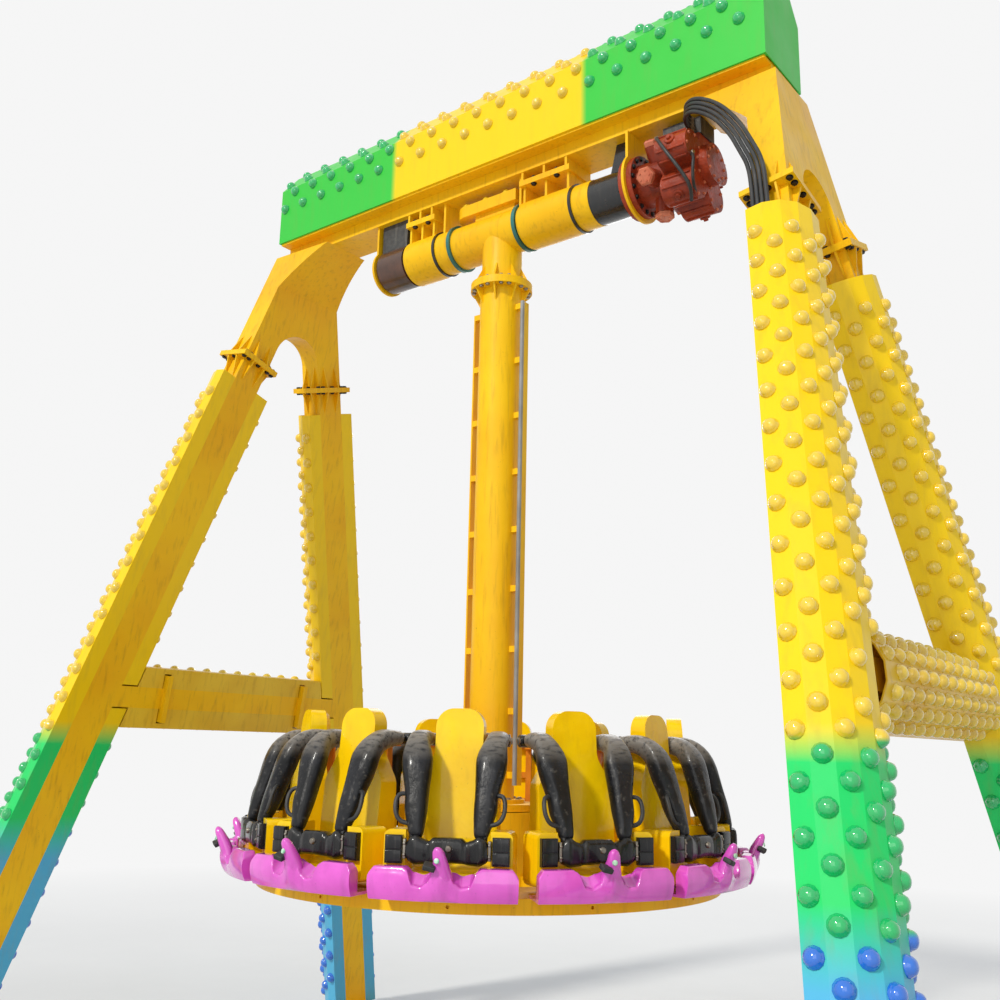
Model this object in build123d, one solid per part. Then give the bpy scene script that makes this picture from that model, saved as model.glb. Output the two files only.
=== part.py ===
from build123d import *
import os
from math import atan2, cos, hypot, pi, radians, sin, tan

# Pendulum ride, in millimetres. X runs along the top girder, Y to the back, Z up from the ground.

# Fixed frame
pivot_height = 5854
foot_x = 3085
foot_y = 1958
joint_x = 2202
joint_y = 392
joint_height = 5236
leg_width = 234
leg_depth = 200
leg_face = 77
flange_plate = 20
flange_rim = 58
rib_plate = 12
rib_height = 175
rib_reach = 50
base_plate = 30
base_length = 560
base_width = 480
base_bolt_hole = 26
base_bolt_edge = 55
arch_radius = 231

# Top girder
girder_bottom = 6190
girder_length = 4210
girder_width = 300
girder_height = 540
shelf_width = 490
shelf_plate = 16
shelf_rise = 87
haunch_start = 1600
haunch_depth = 320
haunch_hollow = 18

# Painted covers
cover_wall = 8
cover_facets = 16
cover_clearance = 10
leg_cover_half = 235
leg_cover_top_gap = 205
leg_cover_ground_gap = 70
beam_cover_length = 4240
beam_cover_middle = 1696
beam_cover_width = 520
beam_cover_side = 467
beam_cover_height = 657
beam_cover_slope = 155
beam_cover_lip = 40

# Braces between the legs
brace_height = 2630
brace_web = 150
brace_cover_half = 218
brace_flange_y = 660
brace_flange_height = 340
brace_flange_reach = 45

# Shaft line, with places along X
housing_radius = 165
sleeve_radius = 155
shaft_radius = 70
shaft_clearance = 1
shaft_start = -780
shaft_end = 790
bore_end_wall = 16
running_gap = 5
left_housing_start = -808
left_housing_end = -530
left_sleeve_end = -392
right_sleeve_start = 228
right_housing_start = 247
right_housing_end = 663
adapter_end = 814
gland_width = 20
gland_rim = 12
pad_plate = 20
pad_height = 256
pad_width = 290
hanger_plate = 18
hanger_width = 290
slip_ring_length = 250
slip_ring_radius = 160
slip_ring_neck = 22
junction_width = 210
coupling_end = 1075
coupling_radius = 152
coupling_fin = 120
ring_plate_x = 1125
ring_plate_radius = 228
motor_flange_radius = 200
motor_flange_plate = 36
motor_neck_radius = 140

# Star motor
motor_lobes = 5
motor_cylinder_x = 1300
motor_cylinder_radius = 58
motor_cylinder_reach = 232
motor_cap_radius = 52
motor_cap_height = 26
motor_star_start = 1385
motor_star_end = 1600
motor_lobe_radius = 98
motor_lobe_reach = 195
motor_core_radius = 165
motor_cover_end = 1662
motor_cover_radius = 128
block_start = 1345
block_end = 1610
block_width = 180
block_rise = 190
block_height = 115

# Hoses from the motor's block to the right front leg
hose_radius = 12.5
hose_spacing = 27
hose_count = 4
hose_arc_share = 0.45
hose_out = -5
hose_front = 198
bulkhead_depth = 475
bulkhead_rim = 16
bulkhead_height = 40

# Pendulum arm
tee_radius = 152
branch_radius = 140
seal_radius = 170
seal_width = 26
arm_radius = 147
arm_flange_height = 5440
arm_flange_radius = 215
arm_flange_plate = 26
arm_gussets = 8
arm_foot_height = 1980
arm_foot_plate = 24
arm_foot_radius = 215
tray_start = -380
tray_end = 180
tray_width = 190
tray_top = 275
tray_height = 85
rail_offset = 215
rail_width = 50
rail_plate = 12
rail_bottom = 2090
rail_top = 5290
rail_brackets = 9
rail_bracket_height = 40
conduit_radius = 14
turntable_radius = 330
turntable_plate = 40
spigot_radius = 120
spigot_length = 70
spigot_clearance = 0.8

# Gondola
seat_count = 12
gondola_bottom = 1508
hub_radius = 360
ring_outer = 1410
ring_inner = 1345
ring_height = 66
ring_bolt_hole = 18
deck_plate = 12
deck_inner = 930
spoke_width = 60
seat_rear = 1100
seat_top = 2513
seat_pan = 1700
seat_front = 1520
seat_width = 430
seat_head_width = 256
seat_shoulder = 2130
seat_neck = 2270
seat_base = 75
ladder_width = 280
ladder_tube = 40
ladder_rungs = 4
axle_radius = 15
axle_clearance = 0.8
axle_inset = 75
axle_height = 2350
axle_half = 258

# Over-shoulder harness
harness_inner = 148
harness_outer = 250
harness_hub_radius = 36
harness_thick = 94
harness_bend = 170
harness_shoulder = 265
lap_width = 410
lap_bottom = 1735
lap_top = 1885
lap_back = 1412
lap_front = 1505

# Side housings and latch blocks beside each seat
housing_outer = 325
housing_back = 1275
housing_front = 1450
housing_bottom = 1640
housing_top = 1905
housing_wall = 12
latch_front = 1478

# Fairing
fairing_gap = 3.5
fairing_top = 1738
fairing_outer = 1620
fairing_wall = 80
fairing_foot = 1370
recess_radius = 75
recess_offset = 118
recess_depth = 50
horn_radius = 1700
horn_height = 1838
horn_width = 84

# Values worked out from the sizes above
lean = atan2(foot_x - joint_x, joint_height)
slope_length = hypot(foot_x - joint_x, joint_height)
leg_length = hypot(slope_length, foot_y - joint_y)
splay = atan2(foot_y - joint_y, slope_length)
outward = (cos(lean), 0, sin(lean))
leg_middle = leg_depth / 2 - leg_face
brace_leg_y = foot_y - brace_height / cos(lean) * tan(splay)
pad_level = pivot_height + pad_height
seat_pitch = 360 / seat_count
deck_top = gondola_bottom + ring_height + deck_plate
axle_place = seat_rear - axle_inset
turntable_bottom = arm_foot_height - turntable_plate


def plate(points, plane, thickness):
    """Flat plate with its outline in a plane and half its thickness on each side."""
    return extrude(plane * make_face(Polyline(*points, close=True)), thickness / 2, both=True)


def box(x, y, z):
    """Box between pairs of limits."""
    size = Box(x[1] - x[0], y[1] - y[0], z[1] - z[0])
    return Pos((x[0] + x[1]) / 2, (y[0] + y[1]) / 2, (z[0] + z[1]) / 2) * size


def disc_x(radius, start, end):
    """Round piece on the shaft line, from start to end along X."""
    plane = Plane(origin=(start, 0, pivot_height), x_dir=(0, 1, 0), z_dir=(1, 0, 0))
    return extrude(plane * Circle(radius), end - start)


def disc_z(radius, bottom, top):
    """Round piece on the pendulum's axis, from bottom to top."""
    return extrude(Pos(0, 0, bottom) * Circle(radius), top - bottom)


def left_of(piece):
    return mirror(piece, about=Plane.YZ)


def back_of(piece):
    return mirror(piece, about=Plane.XZ)


# Legs, braces and heads

def leg_plane():
    """Plane at the front right foot: its normal runs up the leg and its X away from the gondola."""
    rise = (joint_x - foot_x, foot_y - joint_y, joint_height)
    return Plane(origin=(foot_x, -foot_y, 0), x_dir=outward, z_dir=rise)


def head_plane():
    """Plane of the right pair of legs at the height of the bolted joints: its X runs along Y."""
    return Plane(origin=(joint_x, 0, joint_height), x_dir=(0, 1, 0), z_dir=outward)


def brace_plane():
    """Plane across the right brace at its middle, with its normal along Y."""
    return Plane(origin=(foot_x - brace_height * tan(lean), 0, brace_height), x_dir=outward, z_dir=(0, 1, 0))


def rib(reach, height):
    """Triangular rib with its corner at the origin, along +X and down."""
    return plate([(0, 0), (reach, 0), (0, -height)], Plane.XZ, rib_plate)


def flange_ribs():
    """Two ribs on each side of a leg's section, below a flange at the origin."""
    found = []
    for turn, half, share in ((0, leg_depth / 2, leg_width / 4), (90, leg_width / 2, leg_depth / 4)):
        for side in (0, 180):
            for shift in (-share, share):
                place = Rot(0, 0, turn + side) * Pos(half, shift, 0)
                found.append(place * rib(rib_reach, rib_height))
    return found


def flange_block(height):
    """Square flange of a leg's joint, with its underside at the origin."""
    size = Box(leg_depth + 2 * flange_rim, leg_width + 2 * flange_rim, height)
    return Pos(0, 0, height / 2) * size


def leg():
    """Front right leg: box section, bolted top flange with ribs, brace stub and base plate."""
    top = leg_length - flange_plate
    shaft = Pos(0, 0, (top - leg_width) / 2) * Box(leg_depth, leg_width, top + leg_width)
    ribs = [Pos(0, 0, top) * piece for piece in flange_ribs()]
    body = shaft + Pos(0, 0, top) * flange_block(flange_plate) + ribs
    body = leg_plane() * Pos(leg_middle, 0, 0) * body + back_of(brace_stub())
    body = split(body, bisect_by=Plane.XY.offset(base_plate), keep=Keep.TOP)
    return body + foot()


def foot_centre():
    """Place along X of the middle of the leg's footprint."""
    return foot_x + leg_middle / cos(lean)


def foot():
    """Base plate under a leg, with four anchor bolt holes."""
    holes = GridLocations(base_length - 2 * base_bolt_edge, base_width - 2 * base_bolt_edge, 2, 2)
    sketch = Rectangle(base_length, base_width) - holes * Circle(base_bolt_hole / 2)
    return extrude(Pos(foot_centre(), -foot_y, 0) * sketch, base_plate)


def brace_flange(place):
    """Upright flange plate of the brace, centred at a place along Y."""
    size = Rectangle(leg_depth + 2 * brace_flange_reach, brace_flange_height)
    inside = Circle(brace_cover_half - cover_wall - cover_clearance)
    sketch = Pos(leg_middle, 0) * size & Pos(cover_centre(brace_cover_half), 0) * inside
    return Pos(0, 0, place - flange_plate / 2) * extrude(sketch, flange_plate)


def brace_stub():
    """Stub at the right back leg that the brace bolts to, from inside the leg to its flange."""
    length = brace_leg_y - brace_flange_y
    beam = Pos(leg_middle, 0, brace_flange_y + length / 2) * Box(leg_depth, brace_web, length)
    return brace_plane() * (beam + brace_flange(brace_flange_y + flange_plate / 2))


def brace():
    """Right brace: a beam between two legs, with a bolted flange and ribs at each end."""
    body = Pos(leg_middle, 0, 0) * Box(leg_depth, brace_web, 2 * brace_flange_y)
    reach = (brace_flange_height - brace_web) / 2 - rib_plate
    for side in (-1, 1):
        body += brace_flange(side * (brace_flange_y - flange_plate / 2))
    for end in (0, 180):
        for turn in (-90, 90):
            place = Pos(leg_middle, 0, 0) * Rot(0, end, 0) * Pos(0, 0, brace_flange_y - flange_plate)
            body += place * Rot(0, 0, turn) * Pos(brace_web / 2, 0, 0) * rib(reach, rib_height)
    return brace_plane() * body


def facet_corners(half, centre, turns):
    """Corners of a regular outline with flat sides at a distance, by their turns from +X."""
    radius = half / cos(pi / cover_facets)
    return [(centre + radius * cos(radians(turn)), radius * sin(radians(turn))) for turn in turns]


def cover_centre(half):
    """Place of a cover's centre, outward from the leg's or brace's middle line."""
    return half * tan(pi / cover_facets) - leg_face


def cover_profile(half, web_half):
    """Half-round faceted cover, open along the steel web that faces the gondola."""
    step = 360 / cover_facets
    quarter = cover_facets // 4
    centre = cover_centre(half)
    turns = [step * (place + 0.5) for place in range(-quarter - 1, quarter + 1)]
    outer = facet_corners(half, centre, turns)
    inner = facet_corners(half - cover_wall, centre, turns[1:-1])
    lip = cover_wall - leg_face
    low = [(lip, -web_half), (lip, cover_wall - half)]
    high = [(lip, half - cover_wall), (lip, web_half)]
    inside = list(reversed(low + inner + high))
    points = [(-leg_face, -web_half)] + outer + [(-leg_face, web_half)] + inside
    return make_face(Polyline(*points, close=True))


def leg_cover():
    """Painted cover on the outer side of the front right leg, cut out round the brace's stub."""
    length = leg_length - leg_cover_top_gap
    profile = Pos(0, 0, -leg_width) * cover_profile(leg_cover_half, leg_width / 2)
    shell = leg_plane() * extrude(profile, length + leg_width)
    shell = split(shell, bisect_by=Plane.XY.offset(leg_cover_ground_gap), keep=Keep.TOP)
    around = 2 * cover_clearance
    place = Pos(leg_middle, 0, -brace_leg_y / 2)
    return shell - brace_plane() * place * Box(leg_depth + around, brace_web + around, brace_leg_y)


def brace_cover():
    """Painted cover on the outer side of the right brace, cut along the legs at its ends."""
    shell = extrude(cover_profile(brace_cover_half, brace_web / 2), foot_y, both=True)
    high = brace_flange_height + 2 * cover_clearance
    wide = 2 * flange_plate + 2 * cover_clearance
    for side in (-1, 1):
        shell -= Pos(-leg_face, 0, side * brace_flange_y) * Box(leg_face, high, wide)
    shell = brace_plane() * shell
    up = leg_plane()
    near = up.origin + up.y_dir * (leg_cover_half + cover_clearance)
    for side in (1, -1):
        origin = (near.X, side * near.Y, near.Z)
        normal = (up.y_dir.X, side * up.y_dir.Y, up.y_dir.Z)
        shell = split(shell, bisect_by=Plane(origin=origin, z_dir=normal), keep=Keep.TOP)
    return shell


def head_outline(top):
    """Outer corners of the head in its plane, from the joints up to a height above them."""
    half = leg_width / 2
    low = (joint_y + half * cos(splay), half * sin(splay))
    high = (low[0] - (top - low[1]) * tan(splay), top)
    return [low, high, (-high[0], top), (-low[0], low[1])]


def head():
    """Right head: joins two legs to the girder over an arch, with a haunch along the girder."""
    half = leg_width / 2
    inner = (joint_y - half * cos(splay), -half * sin(splay))
    apex = inner[1] + inner[0] / tan(splay)
    points = head_outline(girder_bottom - joint_height + girder_width)
    points += [(-inner[0], inner[1]), (0, apex), inner]
    face = make_face(Polyline(*points, close=True))
    corner = face.vertices().sort_by_distance((0, apex, 0))[0]
    face = fillet(corner, arch_radius)
    body = extrude(head_plane().offset(-leg_face) * face, leg_depth)
    body += haunch()
    body = split(body, bisect_by=Plane.XY.offset(girder_bottom), keep=Keep.BOTTOM)
    foot_piece = head_joint()
    return body + foot_piece + back_of(foot_piece)


def haunch():
    """Knee between the girder's underside and the head, as wide as the head."""
    low_z = girder_bottom - haunch_depth
    low_x = joint_x - (low_z - joint_height) * tan(lean)
    start = (haunch_start, girder_bottom)
    end = (low_x - leg_face, low_z)
    middle = ((start[0] + end[0]) / 2 + haunch_hollow, (start[1] + end[1]) / 2 + haunch_hollow)
    edge = [ThreePointArc(start, middle, end), Polyline(end, (low_x, low_z), (low_x, girder_bottom), start)]
    wedge = extrude(Plane.XZ * make_face(edge), foot_y, both=True)
    outline = make_face(Polyline(*head_outline(girder_bottom - joint_height + girder_width), close=True))
    return wedge & extrude(head_plane() * outline, foot_x, both=True)


def head_joint():
    """Flange, ribs and leg-shaped root of the head over the front leg's joint."""
    ribs = [Pos(0, 0, flange_plate) * Rot(180, 0, 0) * piece for piece in flange_ribs()]
    root = Pos(0, 0, rib_height / 2) * Box(leg_depth, leg_width, rib_height)
    return leg_plane() * Pos(leg_middle, 0, leg_length) * (flange_block(flange_plate) + root + ribs)


# Girder and its covers

def girder():
    """Box girder with the shelf that carries the covers."""
    half = girder_length / 2
    beam = box((-half, half), (-girder_width / 2, girder_width / 2), (girder_bottom, girder_bottom + girder_height))
    shelf = girder_bottom + shelf_rise
    return beam + box((-half, half), (-shelf_width / 2, shelf_width / 2), (shelf, shelf + shelf_plate))


def cover_outline(wall):
    """Outline of the girder's cover, drawn in by a wall."""
    half = beam_cover_width / 2
    fall = beam_cover_height - beam_cover_side
    shift = wall * tan(atan2(fall, beam_cover_slope) / 2)
    shoulder = half - beam_cover_slope
    side = [(wall - half, beam_cover_side - shift), (wall * 0.5 - shoulder, beam_cover_height - wall)]
    points = [(wall - half, wall)] + side
    return make_face(Polyline(*points, *[(-y, z) for y, z in reversed(points)], close=True))


def beam_cover(start, end, closed_start, closed_end):
    """Painted cover over a stretch of the girder, on lips along its shelf, with a closed end where asked."""
    base = girder_bottom + shelf_rise + shelf_plate
    plane = Plane(origin=(start, 0, base), x_dir=(0, 1, 0), z_dir=(1, 0, 0))
    outer = extrude(plane * cover_outline(0), end - start)
    hollow = end - start - closed_start - closed_end
    half = beam_cover_width / 2 - beam_cover_lip
    mouth = box((start + closed_start, end - closed_end), (-half, half), (base, base + cover_wall))
    return outer - extrude(plane.offset(closed_start) * cover_outline(cover_wall), hollow) - mouth


# Shaft line

def bracket_places(start, end):
    """Three plates evenly spread over a bearing, inside its ends."""
    inset = hanger_plate * 1.5
    return [start + inset, (start + end) / 2, end - inset]


def bearing(start, end, sleeve_start, sleeve_end, bore_start, bore_end):
    """Bearing housing with its sleeve, ribs and bolted pad, bored for the shaft."""
    body = disc_x(housing_radius, start, end) + disc_x(sleeve_radius, sleeve_start, sleeve_end)
    body += box((start, end), (-pad_width / 2, pad_width / 2), (pad_level - pad_plate, pad_level))
    for place in bracket_places(start, end):
        x = (place - hanger_plate / 2, place + hanger_plate / 2)
        body += box(x, (-pad_width * 0.4, pad_width * 0.4), (pivot_height, pad_level - pad_plate))
    return body - disc_x(shaft_radius + shaft_clearance, bore_start, bore_end)


def left_bearing():
    bore_start = shaft_start - bore_end_wall
    return bearing(left_housing_start, left_housing_end, left_housing_end, left_sleeve_end,
                   bore_start, left_sleeve_end)


def right_bearing():
    """Right bearing, whose sleeve runs on as the adapter of the drive."""
    return bearing(right_housing_start, right_housing_end, right_sleeve_start, adapter_end,
                   right_sleeve_start, shaft_end + running_gap)


def gland_rings():
    """Black rings at the ends of the two housings."""
    rings = []
    for start in (left_housing_end, right_housing_end):
        ring = disc_x(sleeve_radius + gland_rim, start, start + gland_width)
        rings.append(ring - disc_x(sleeve_radius + 0.3, start, start + gland_width))
    return rings


def hanger(place, bottom, width):
    """Upright plate under the girder at a place along X."""
    x = (place - hanger_plate / 2, place + hanger_plate / 2)
    return box(x, (-width / 2, width / 2), (bottom, girder_bottom))


def girder_bracket(start, end):
    """Upper half of a bolted bearing bracket, welded under the girder."""
    piece = box((start, end), (-pad_width / 2, pad_width / 2), (pad_level, pad_level + pad_plate))
    for place in bracket_places(start, end):
        piece += hanger(place, pad_level + pad_plate / 2, hanger_width)
    return piece


def end_plate_x():
    """Place of the plate that closes the left end of the shaft line."""
    return left_housing_start - slip_ring_length - 2 * slip_ring_neck - hanger_plate / 2


def round_hanger(place, radius, bore):
    """Hanger plate that widens to a round eye on the shaft line."""
    plate_body = hanger(place, pivot_height, radius * 1.5)
    x = (place - hanger_plate / 2, place + hanger_plate / 2)
    plate_body += disc_x(radius, x[0], x[1])
    return plate_body - disc_x(bore, x[0], x[1]) if bore else plate_body


def hangers():
    """Plates and brackets that hang the shaft line from the girder."""
    pieces = [girder_bracket(left_housing_start, left_housing_end)]
    pieces.append(girder_bracket(right_housing_start, right_housing_end))
    pieces.append(round_hanger(end_plate_x(), slip_ring_radius + gland_rim, 0))
    pieces.append(round_hanger(ring_plate_x, ring_plate_radius, motor_neck_radius + shaft_clearance))
    pieces.append(saddle_hanger((left_housing_end + gland_width + left_sleeve_end) / 2))
    pieces.append(saddle_hanger((right_sleeve_start + right_housing_start) / 2))
    return pieces


def saddle_hanger(place):
    """Hanger plate whose lower edge is a saddle on the sleeve."""
    body = hanger(place, pivot_height + sleeve_radius / 2, hanger_width * 0.8)
    return body - disc_x(sleeve_radius, place - hanger_plate, place + hanger_plate)


def slip_ring():
    """Slip ring drum between the left end plate and the bearing."""
    start = end_plate_x() + hanger_plate / 2
    drum = disc_x(slip_ring_radius * 0.9, start, left_housing_start)
    return drum + disc_x(slip_ring_radius, start + slip_ring_neck, left_housing_start - slip_ring_neck)


def junction_box():
    """Junction box between the slip ring and the girder."""
    start = end_plate_x() + hanger_plate / 2 + slip_ring_neck
    x = (start, start + slip_ring_length)
    body = box(x, (-junction_width / 2, junction_width / 2), (pivot_height + slip_ring_radius / 2, girder_bottom))
    return body - disc_x(slip_ring_radius, *x)


def coupling():
    """Black coupling housing between the adapter and the motor, with its bracket to the girder."""
    body = disc_x(coupling_radius, adapter_end, coupling_end)
    length = coupling_end - adapter_end
    low = [(adapter_end + length * 0.35, pivot_height), (coupling_end - length * 0.2, pivot_height)]
    high = [(coupling_end, girder_bottom), (coupling_end - length * 0.35, girder_bottom)]
    return body + plate(low + high, Plane.XZ, coupling_fin)


def lobe_turns():
    """Turns of the motor's lobes about the shaft line, with one at the top."""
    return [360 / motor_lobes * place for place in range(motor_lobes)]


def around_shaft(turn):
    """Place on the shaft line whose +Z points out along a lobe."""
    return Pos(0, 0, pivot_height) * Rot(turn, 0, 0)


def motor():
    """Radial piston motor: two flanges through the ring plate, a bank of capped cylinders and a star case."""
    plate_half = hanger_plate / 2
    flange_end = ring_plate_x + plate_half + motor_flange_plate
    body = disc_x(motor_flange_radius, coupling_end, ring_plate_x - plate_half)
    body += disc_x(motor_neck_radius, coupling_end, motor_star_start)
    body += disc_x(motor_flange_radius, ring_plate_x + plate_half, flange_end)
    for turn in lobe_turns():
        body += around_shaft(turn + 180 / motor_lobes) * motor_cylinder()
        body += around_shaft(turn) * motor_lobe()
    body += disc_x(motor_core_radius, motor_star_start, motor_star_end)
    body += disc_x(motor_cover_radius, motor_star_end, motor_cover_end)
    flat = pivot_height + block_rise
    above = box((block_start, block_end), (-block_width, block_width), (flat, flat + block_height * 2))
    return body - above


def motor_cylinder():
    """Round cylinder of the front bank with its hexagonal cap, pointing up."""
    barrel = extrude(Pos(motor_cylinder_x, 0, 0) * Circle(motor_cylinder_radius), motor_cylinder_reach)
    cap = Pos(motor_cylinder_x, 0, motor_cylinder_reach) * RegularPolygon(motor_cap_radius, 6)
    return barrel + extrude(cap, motor_cap_height)


def motor_lobe():
    """Rounded lobe of the star case, pointing up, with a waist to the core."""
    depth = motor_star_end - motor_star_start
    tip = Pos(motor_star_start, 0, motor_lobe_reach) * Rot(0, 90, 0) * Circle(motor_lobe_radius)
    lobe = extrude(tip, depth)
    waist = box((motor_star_start, motor_star_end), (-motor_lobe_radius, motor_lobe_radius), (0, motor_lobe_reach))
    return lobe + waist


def motor_block():
    """Valve block on top of the motor, with the ports of the hoses in its front face."""
    z = pivot_height + block_rise
    return box((block_start, block_end), (-block_width / 2, block_width / 2), (z, z + block_height))


# Hoses

def hose_shifts():
    """Sideways shifts of the hoses from the middle of their flat bundle."""
    return [hose_spacing * (place - (hose_count - 1) / 2) for place in range(hose_count)]


def hose_route(shift):
    """Route of one hose from the block's front face to the bulkhead on the leg."""
    start = Vector(block_end - 55, -block_width / 2, pivot_height + block_rise + block_height / 2)
    up = leg_plane()
    steps = [(0, 0, 0), (0, -135, 0), (120, -255, -18), (300, -300, -150)]
    steps += [(440, -350, -345), (530, -415, -520)]
    sides = [(0, 0, 1), (0, 0, 1), (0.3, 0, 0.95), (0.55, 0, 0.83), (0.75, 0, 0.66), (0.9, 0, 0.43)]
    points = [start + Vector(step) + Vector(side) * shift for step, side in zip(steps, sides)]
    for rise, out in ((130, 14), (-100, 0), (-bulkhead_depth, 0)):
        place = up.origin + up.z_dir * (leg_length + rise) - up.y_dir * (hose_front + out)
        points.append(place + up.x_dir * (hose_out + shift))
    return points


def hose(shift):
    """Hose as straight runs joined by tangent arcs, each as large as its runs allow."""
    points = hose_route(shift)
    radii = []
    for before, point, after in zip(points, points[1:], points[2:]):
        turn = radians((point - before).get_angle(after - point))
        shorter = min((point - before).length, (after - point).length)
        radii.append(hose_arc_share * shorter / tan(turn / 2))
    path = FilletPolyline(*points, radius=radii)
    body = sweep(Plane(origin=path @ 0, z_dir=path % 0) * Circle(hose_radius), path=path)
    ratio = body.volume / (pi * hose_radius ** 2 * path.length)
    print("hose radii", [round(radius) for radius in radii], "volume ratio", round(ratio, 4))
    return body


def hose_bulkhead():
    """Clamp block on the front side of the right front leg, inside its cover, where the hoses end."""
    width = (hose_count - 1) * hose_spacing + 2 * bulkhead_rim
    depth = hose_front + hose_radius - leg_width / 2
    middle = Pos(hose_out, -(leg_width + depth) / 2, leg_length - bulkhead_depth - bulkhead_height / 2)
    return leg_plane() * middle * Box(width, depth, bulkhead_height)


# Pendulum

def pivot_tee():
    """Tee on its shaft, with the branch down to the arm's flange."""
    start = left_sleeve_end + running_gap + seal_width
    end = right_sleeve_start - running_gap - seal_width
    body = disc_x(tee_radius, start, end) + disc_x(shaft_radius, shaft_start, shaft_end)
    flange_top = arm_flange_height + arm_flange_plate
    body += disc_z(branch_radius, arm_flange_height, pivot_height)
    body += disc_z(arm_flange_radius, arm_flange_height, flange_top)
    return body + arm_flange_gussets(branch_radius, flange_top, 1)


def arm_flange_gussets(radius, height, direction):
    """Gussets round the arm, above or below its bolted flange."""
    reach = arm_flange_radius - radius - 8
    points = [(0, 0), (reach, 0), (0, direction * reach * 1.9)]
    gusset = plate([(x + radius - 4, z) for x, z in points], Plane.XZ, rib_plate)
    step = 360 / arm_gussets
    return [Rot(0, 0, step * (place + 0.5)) * Pos(0, 0, height) * gusset for place in range(arm_gussets)]


def seal_rings():
    """Teal seal rings at both ends of the tee."""
    left = left_sleeve_end + running_gap
    right = right_sleeve_start - running_gap
    rings = [disc_x(seal_radius, left, left + seal_width), disc_x(seal_radius, right - seal_width, right)]
    return [ring - disc_x(shaft_radius, left, right) for ring in rings]


def light_tray():
    """Tray with the top lights, on a saddle over the tee."""
    half = tray_width / 2
    top = pivot_height + tray_top
    outline = Pos((tray_start + tray_end) / 2, 0, top - tray_height) * SlotOverall(tray_end - tray_start, tray_width)
    body = extrude(outline, tray_height)
    square = box((0, tray_end), (-half, half), (top - tray_height, top))
    saddle = box((tray_start * 0.55, tray_end * 0.8), (-half * 0.6, half * 0.6), (pivot_height, top - tray_height))
    return body + square + saddle - disc_x(tee_radius, tray_start - tray_width, tray_end + tray_width)


def arm():
    """Tubular arm with its bolted top flange and its foot."""
    body = disc_z(arm_radius, arm_foot_height, arm_flange_height)
    body += disc_z(arm_flange_radius, arm_flange_height - arm_flange_plate, arm_flange_height)
    body += arm_flange_gussets(arm_radius, arm_flange_height - arm_flange_plate, -1)
    return body + disc_z(arm_foot_radius, arm_foot_height, arm_foot_height + arm_foot_plate)


def arm_rail(side):
    """Flat rail along one side of the arm on its brackets."""
    near = rail_offset - rail_plate / 2
    far = rail_offset + rail_plate / 2
    rail = box((near, far), (-rail_width / 2, rail_width / 2), (rail_bottom, rail_top))
    step = (rail_top - rail_bottom - 2 * rail_bracket_height) / (rail_brackets - 1)
    for place in range(rail_brackets):
        z = rail_bottom + rail_bracket_height + step * place
        bracket = box((0, near), (-rail_width / 2, rail_width / 2), (z, z + rail_bracket_height))
        rail += bracket - disc_z(arm_radius, rail_bottom - rail_width, rail_top)
    return rail if side > 0 else left_of(rail)


def conduit():
    """Cable conduit on the front face of the right rail."""
    y = -rail_width / 2 - conduit_radius
    return extrude(Pos(rail_offset, y, rail_bottom) * Circle(conduit_radius), rail_top - rail_bottom)


def turntable():
    """Upper ring of the slewing bearing, under the arm's foot, with the spigot the gondola turns on."""
    ring = disc_z(turntable_radius, turntable_bottom, arm_foot_height)
    return ring + disc_z(spigot_radius, turntable_bottom - spigot_length, arm_foot_height)


# Gondola, with one seat modelled on the +X side

def around(pieces):
    """Copies of a seat's pieces at every seat."""
    return [Rot(0, 0, seat_pitch * place) * piece for place in range(seat_count) for piece in pieces]


def gondola_frame():
    """Hub, spokes between the seats, bottom ring with its bolt holes, and the deck plate."""
    ring_top = gondola_bottom + ring_height
    hub = disc_z(hub_radius, gondola_bottom, turntable_bottom - running_gap)
    hub -= disc_z(spigot_radius + spigot_clearance, turntable_bottom - spigot_length - running_gap, turntable_bottom)
    ring = disc_z(ring_outer, gondola_bottom, ring_top) - disc_z(ring_inner, gondola_bottom, ring_top)
    deck = disc_z(ring_outer, ring_top, deck_top) - disc_z(deck_inner, ring_top, deck_top)
    half = spoke_width / 2
    spoke = box((hub_radius * 0.9, ring_inner + half), (-half, half), (gondola_bottom, ring_top))
    spokes = [Rot(0, 0, seat_pitch * (place + 0.5)) * spoke for place in range(seat_count)]
    body = hub + ring + deck + spokes
    hole = Pos(ring_outer, 0, gondola_bottom + ring_height / 2) * Rot(0, 90, 0) * Cylinder(ring_bolt_hole / 2, 40)
    return body - around([hole])


def seat():
    """Moulded seat with a tall narrow head, wide hips and a pan with a rounded front."""
    low = seat_pan - seat_base
    back_foot = seat_rear + 150
    points = [(seat_rear, low), (seat_rear, seat_top), (seat_rear + 88, seat_top), (back_foot, seat_pan)]
    points += [(seat_front, seat_pan), (seat_front, low)]
    face = make_face(Polyline(*points, close=True))
    for corner, radius in ((3, 85), (4, 35)):
        spot = face.vertices().sort_by_distance((*points[corner], 0))[0]
        face = fillet(spot, radius)
    side = extrude(Plane.XZ * face, seat_width / 2, both=True)
    return side & seat_outline()


def seat_outline():
    """The seat's outline from the front, as a long bar along X."""
    hips = seat_width / 2
    head = seat_head_width / 2
    low = seat_pan - seat_base
    right = [(hips, low), (hips, seat_shoulder), (head, seat_neck), (head, seat_top)]
    points = right + [(-y, z) for y, z in reversed(right)]
    face = make_face(Polyline(*points, close=True))
    for corner, radius in ((1, 90), (2, 120), (3, 95), (4, 95), (5, 120), (6, 90)):
        spot = face.vertices().sort_by_distance((*points[corner], 0))[0]
        face = fillet(spot, radius)
    plane = Plane(origin=(0, 0, 0), x_dir=(0, 1, 0), z_dir=(1, 0, 0))
    return extrude(plane * face, seat_front + seat_width)


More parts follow.
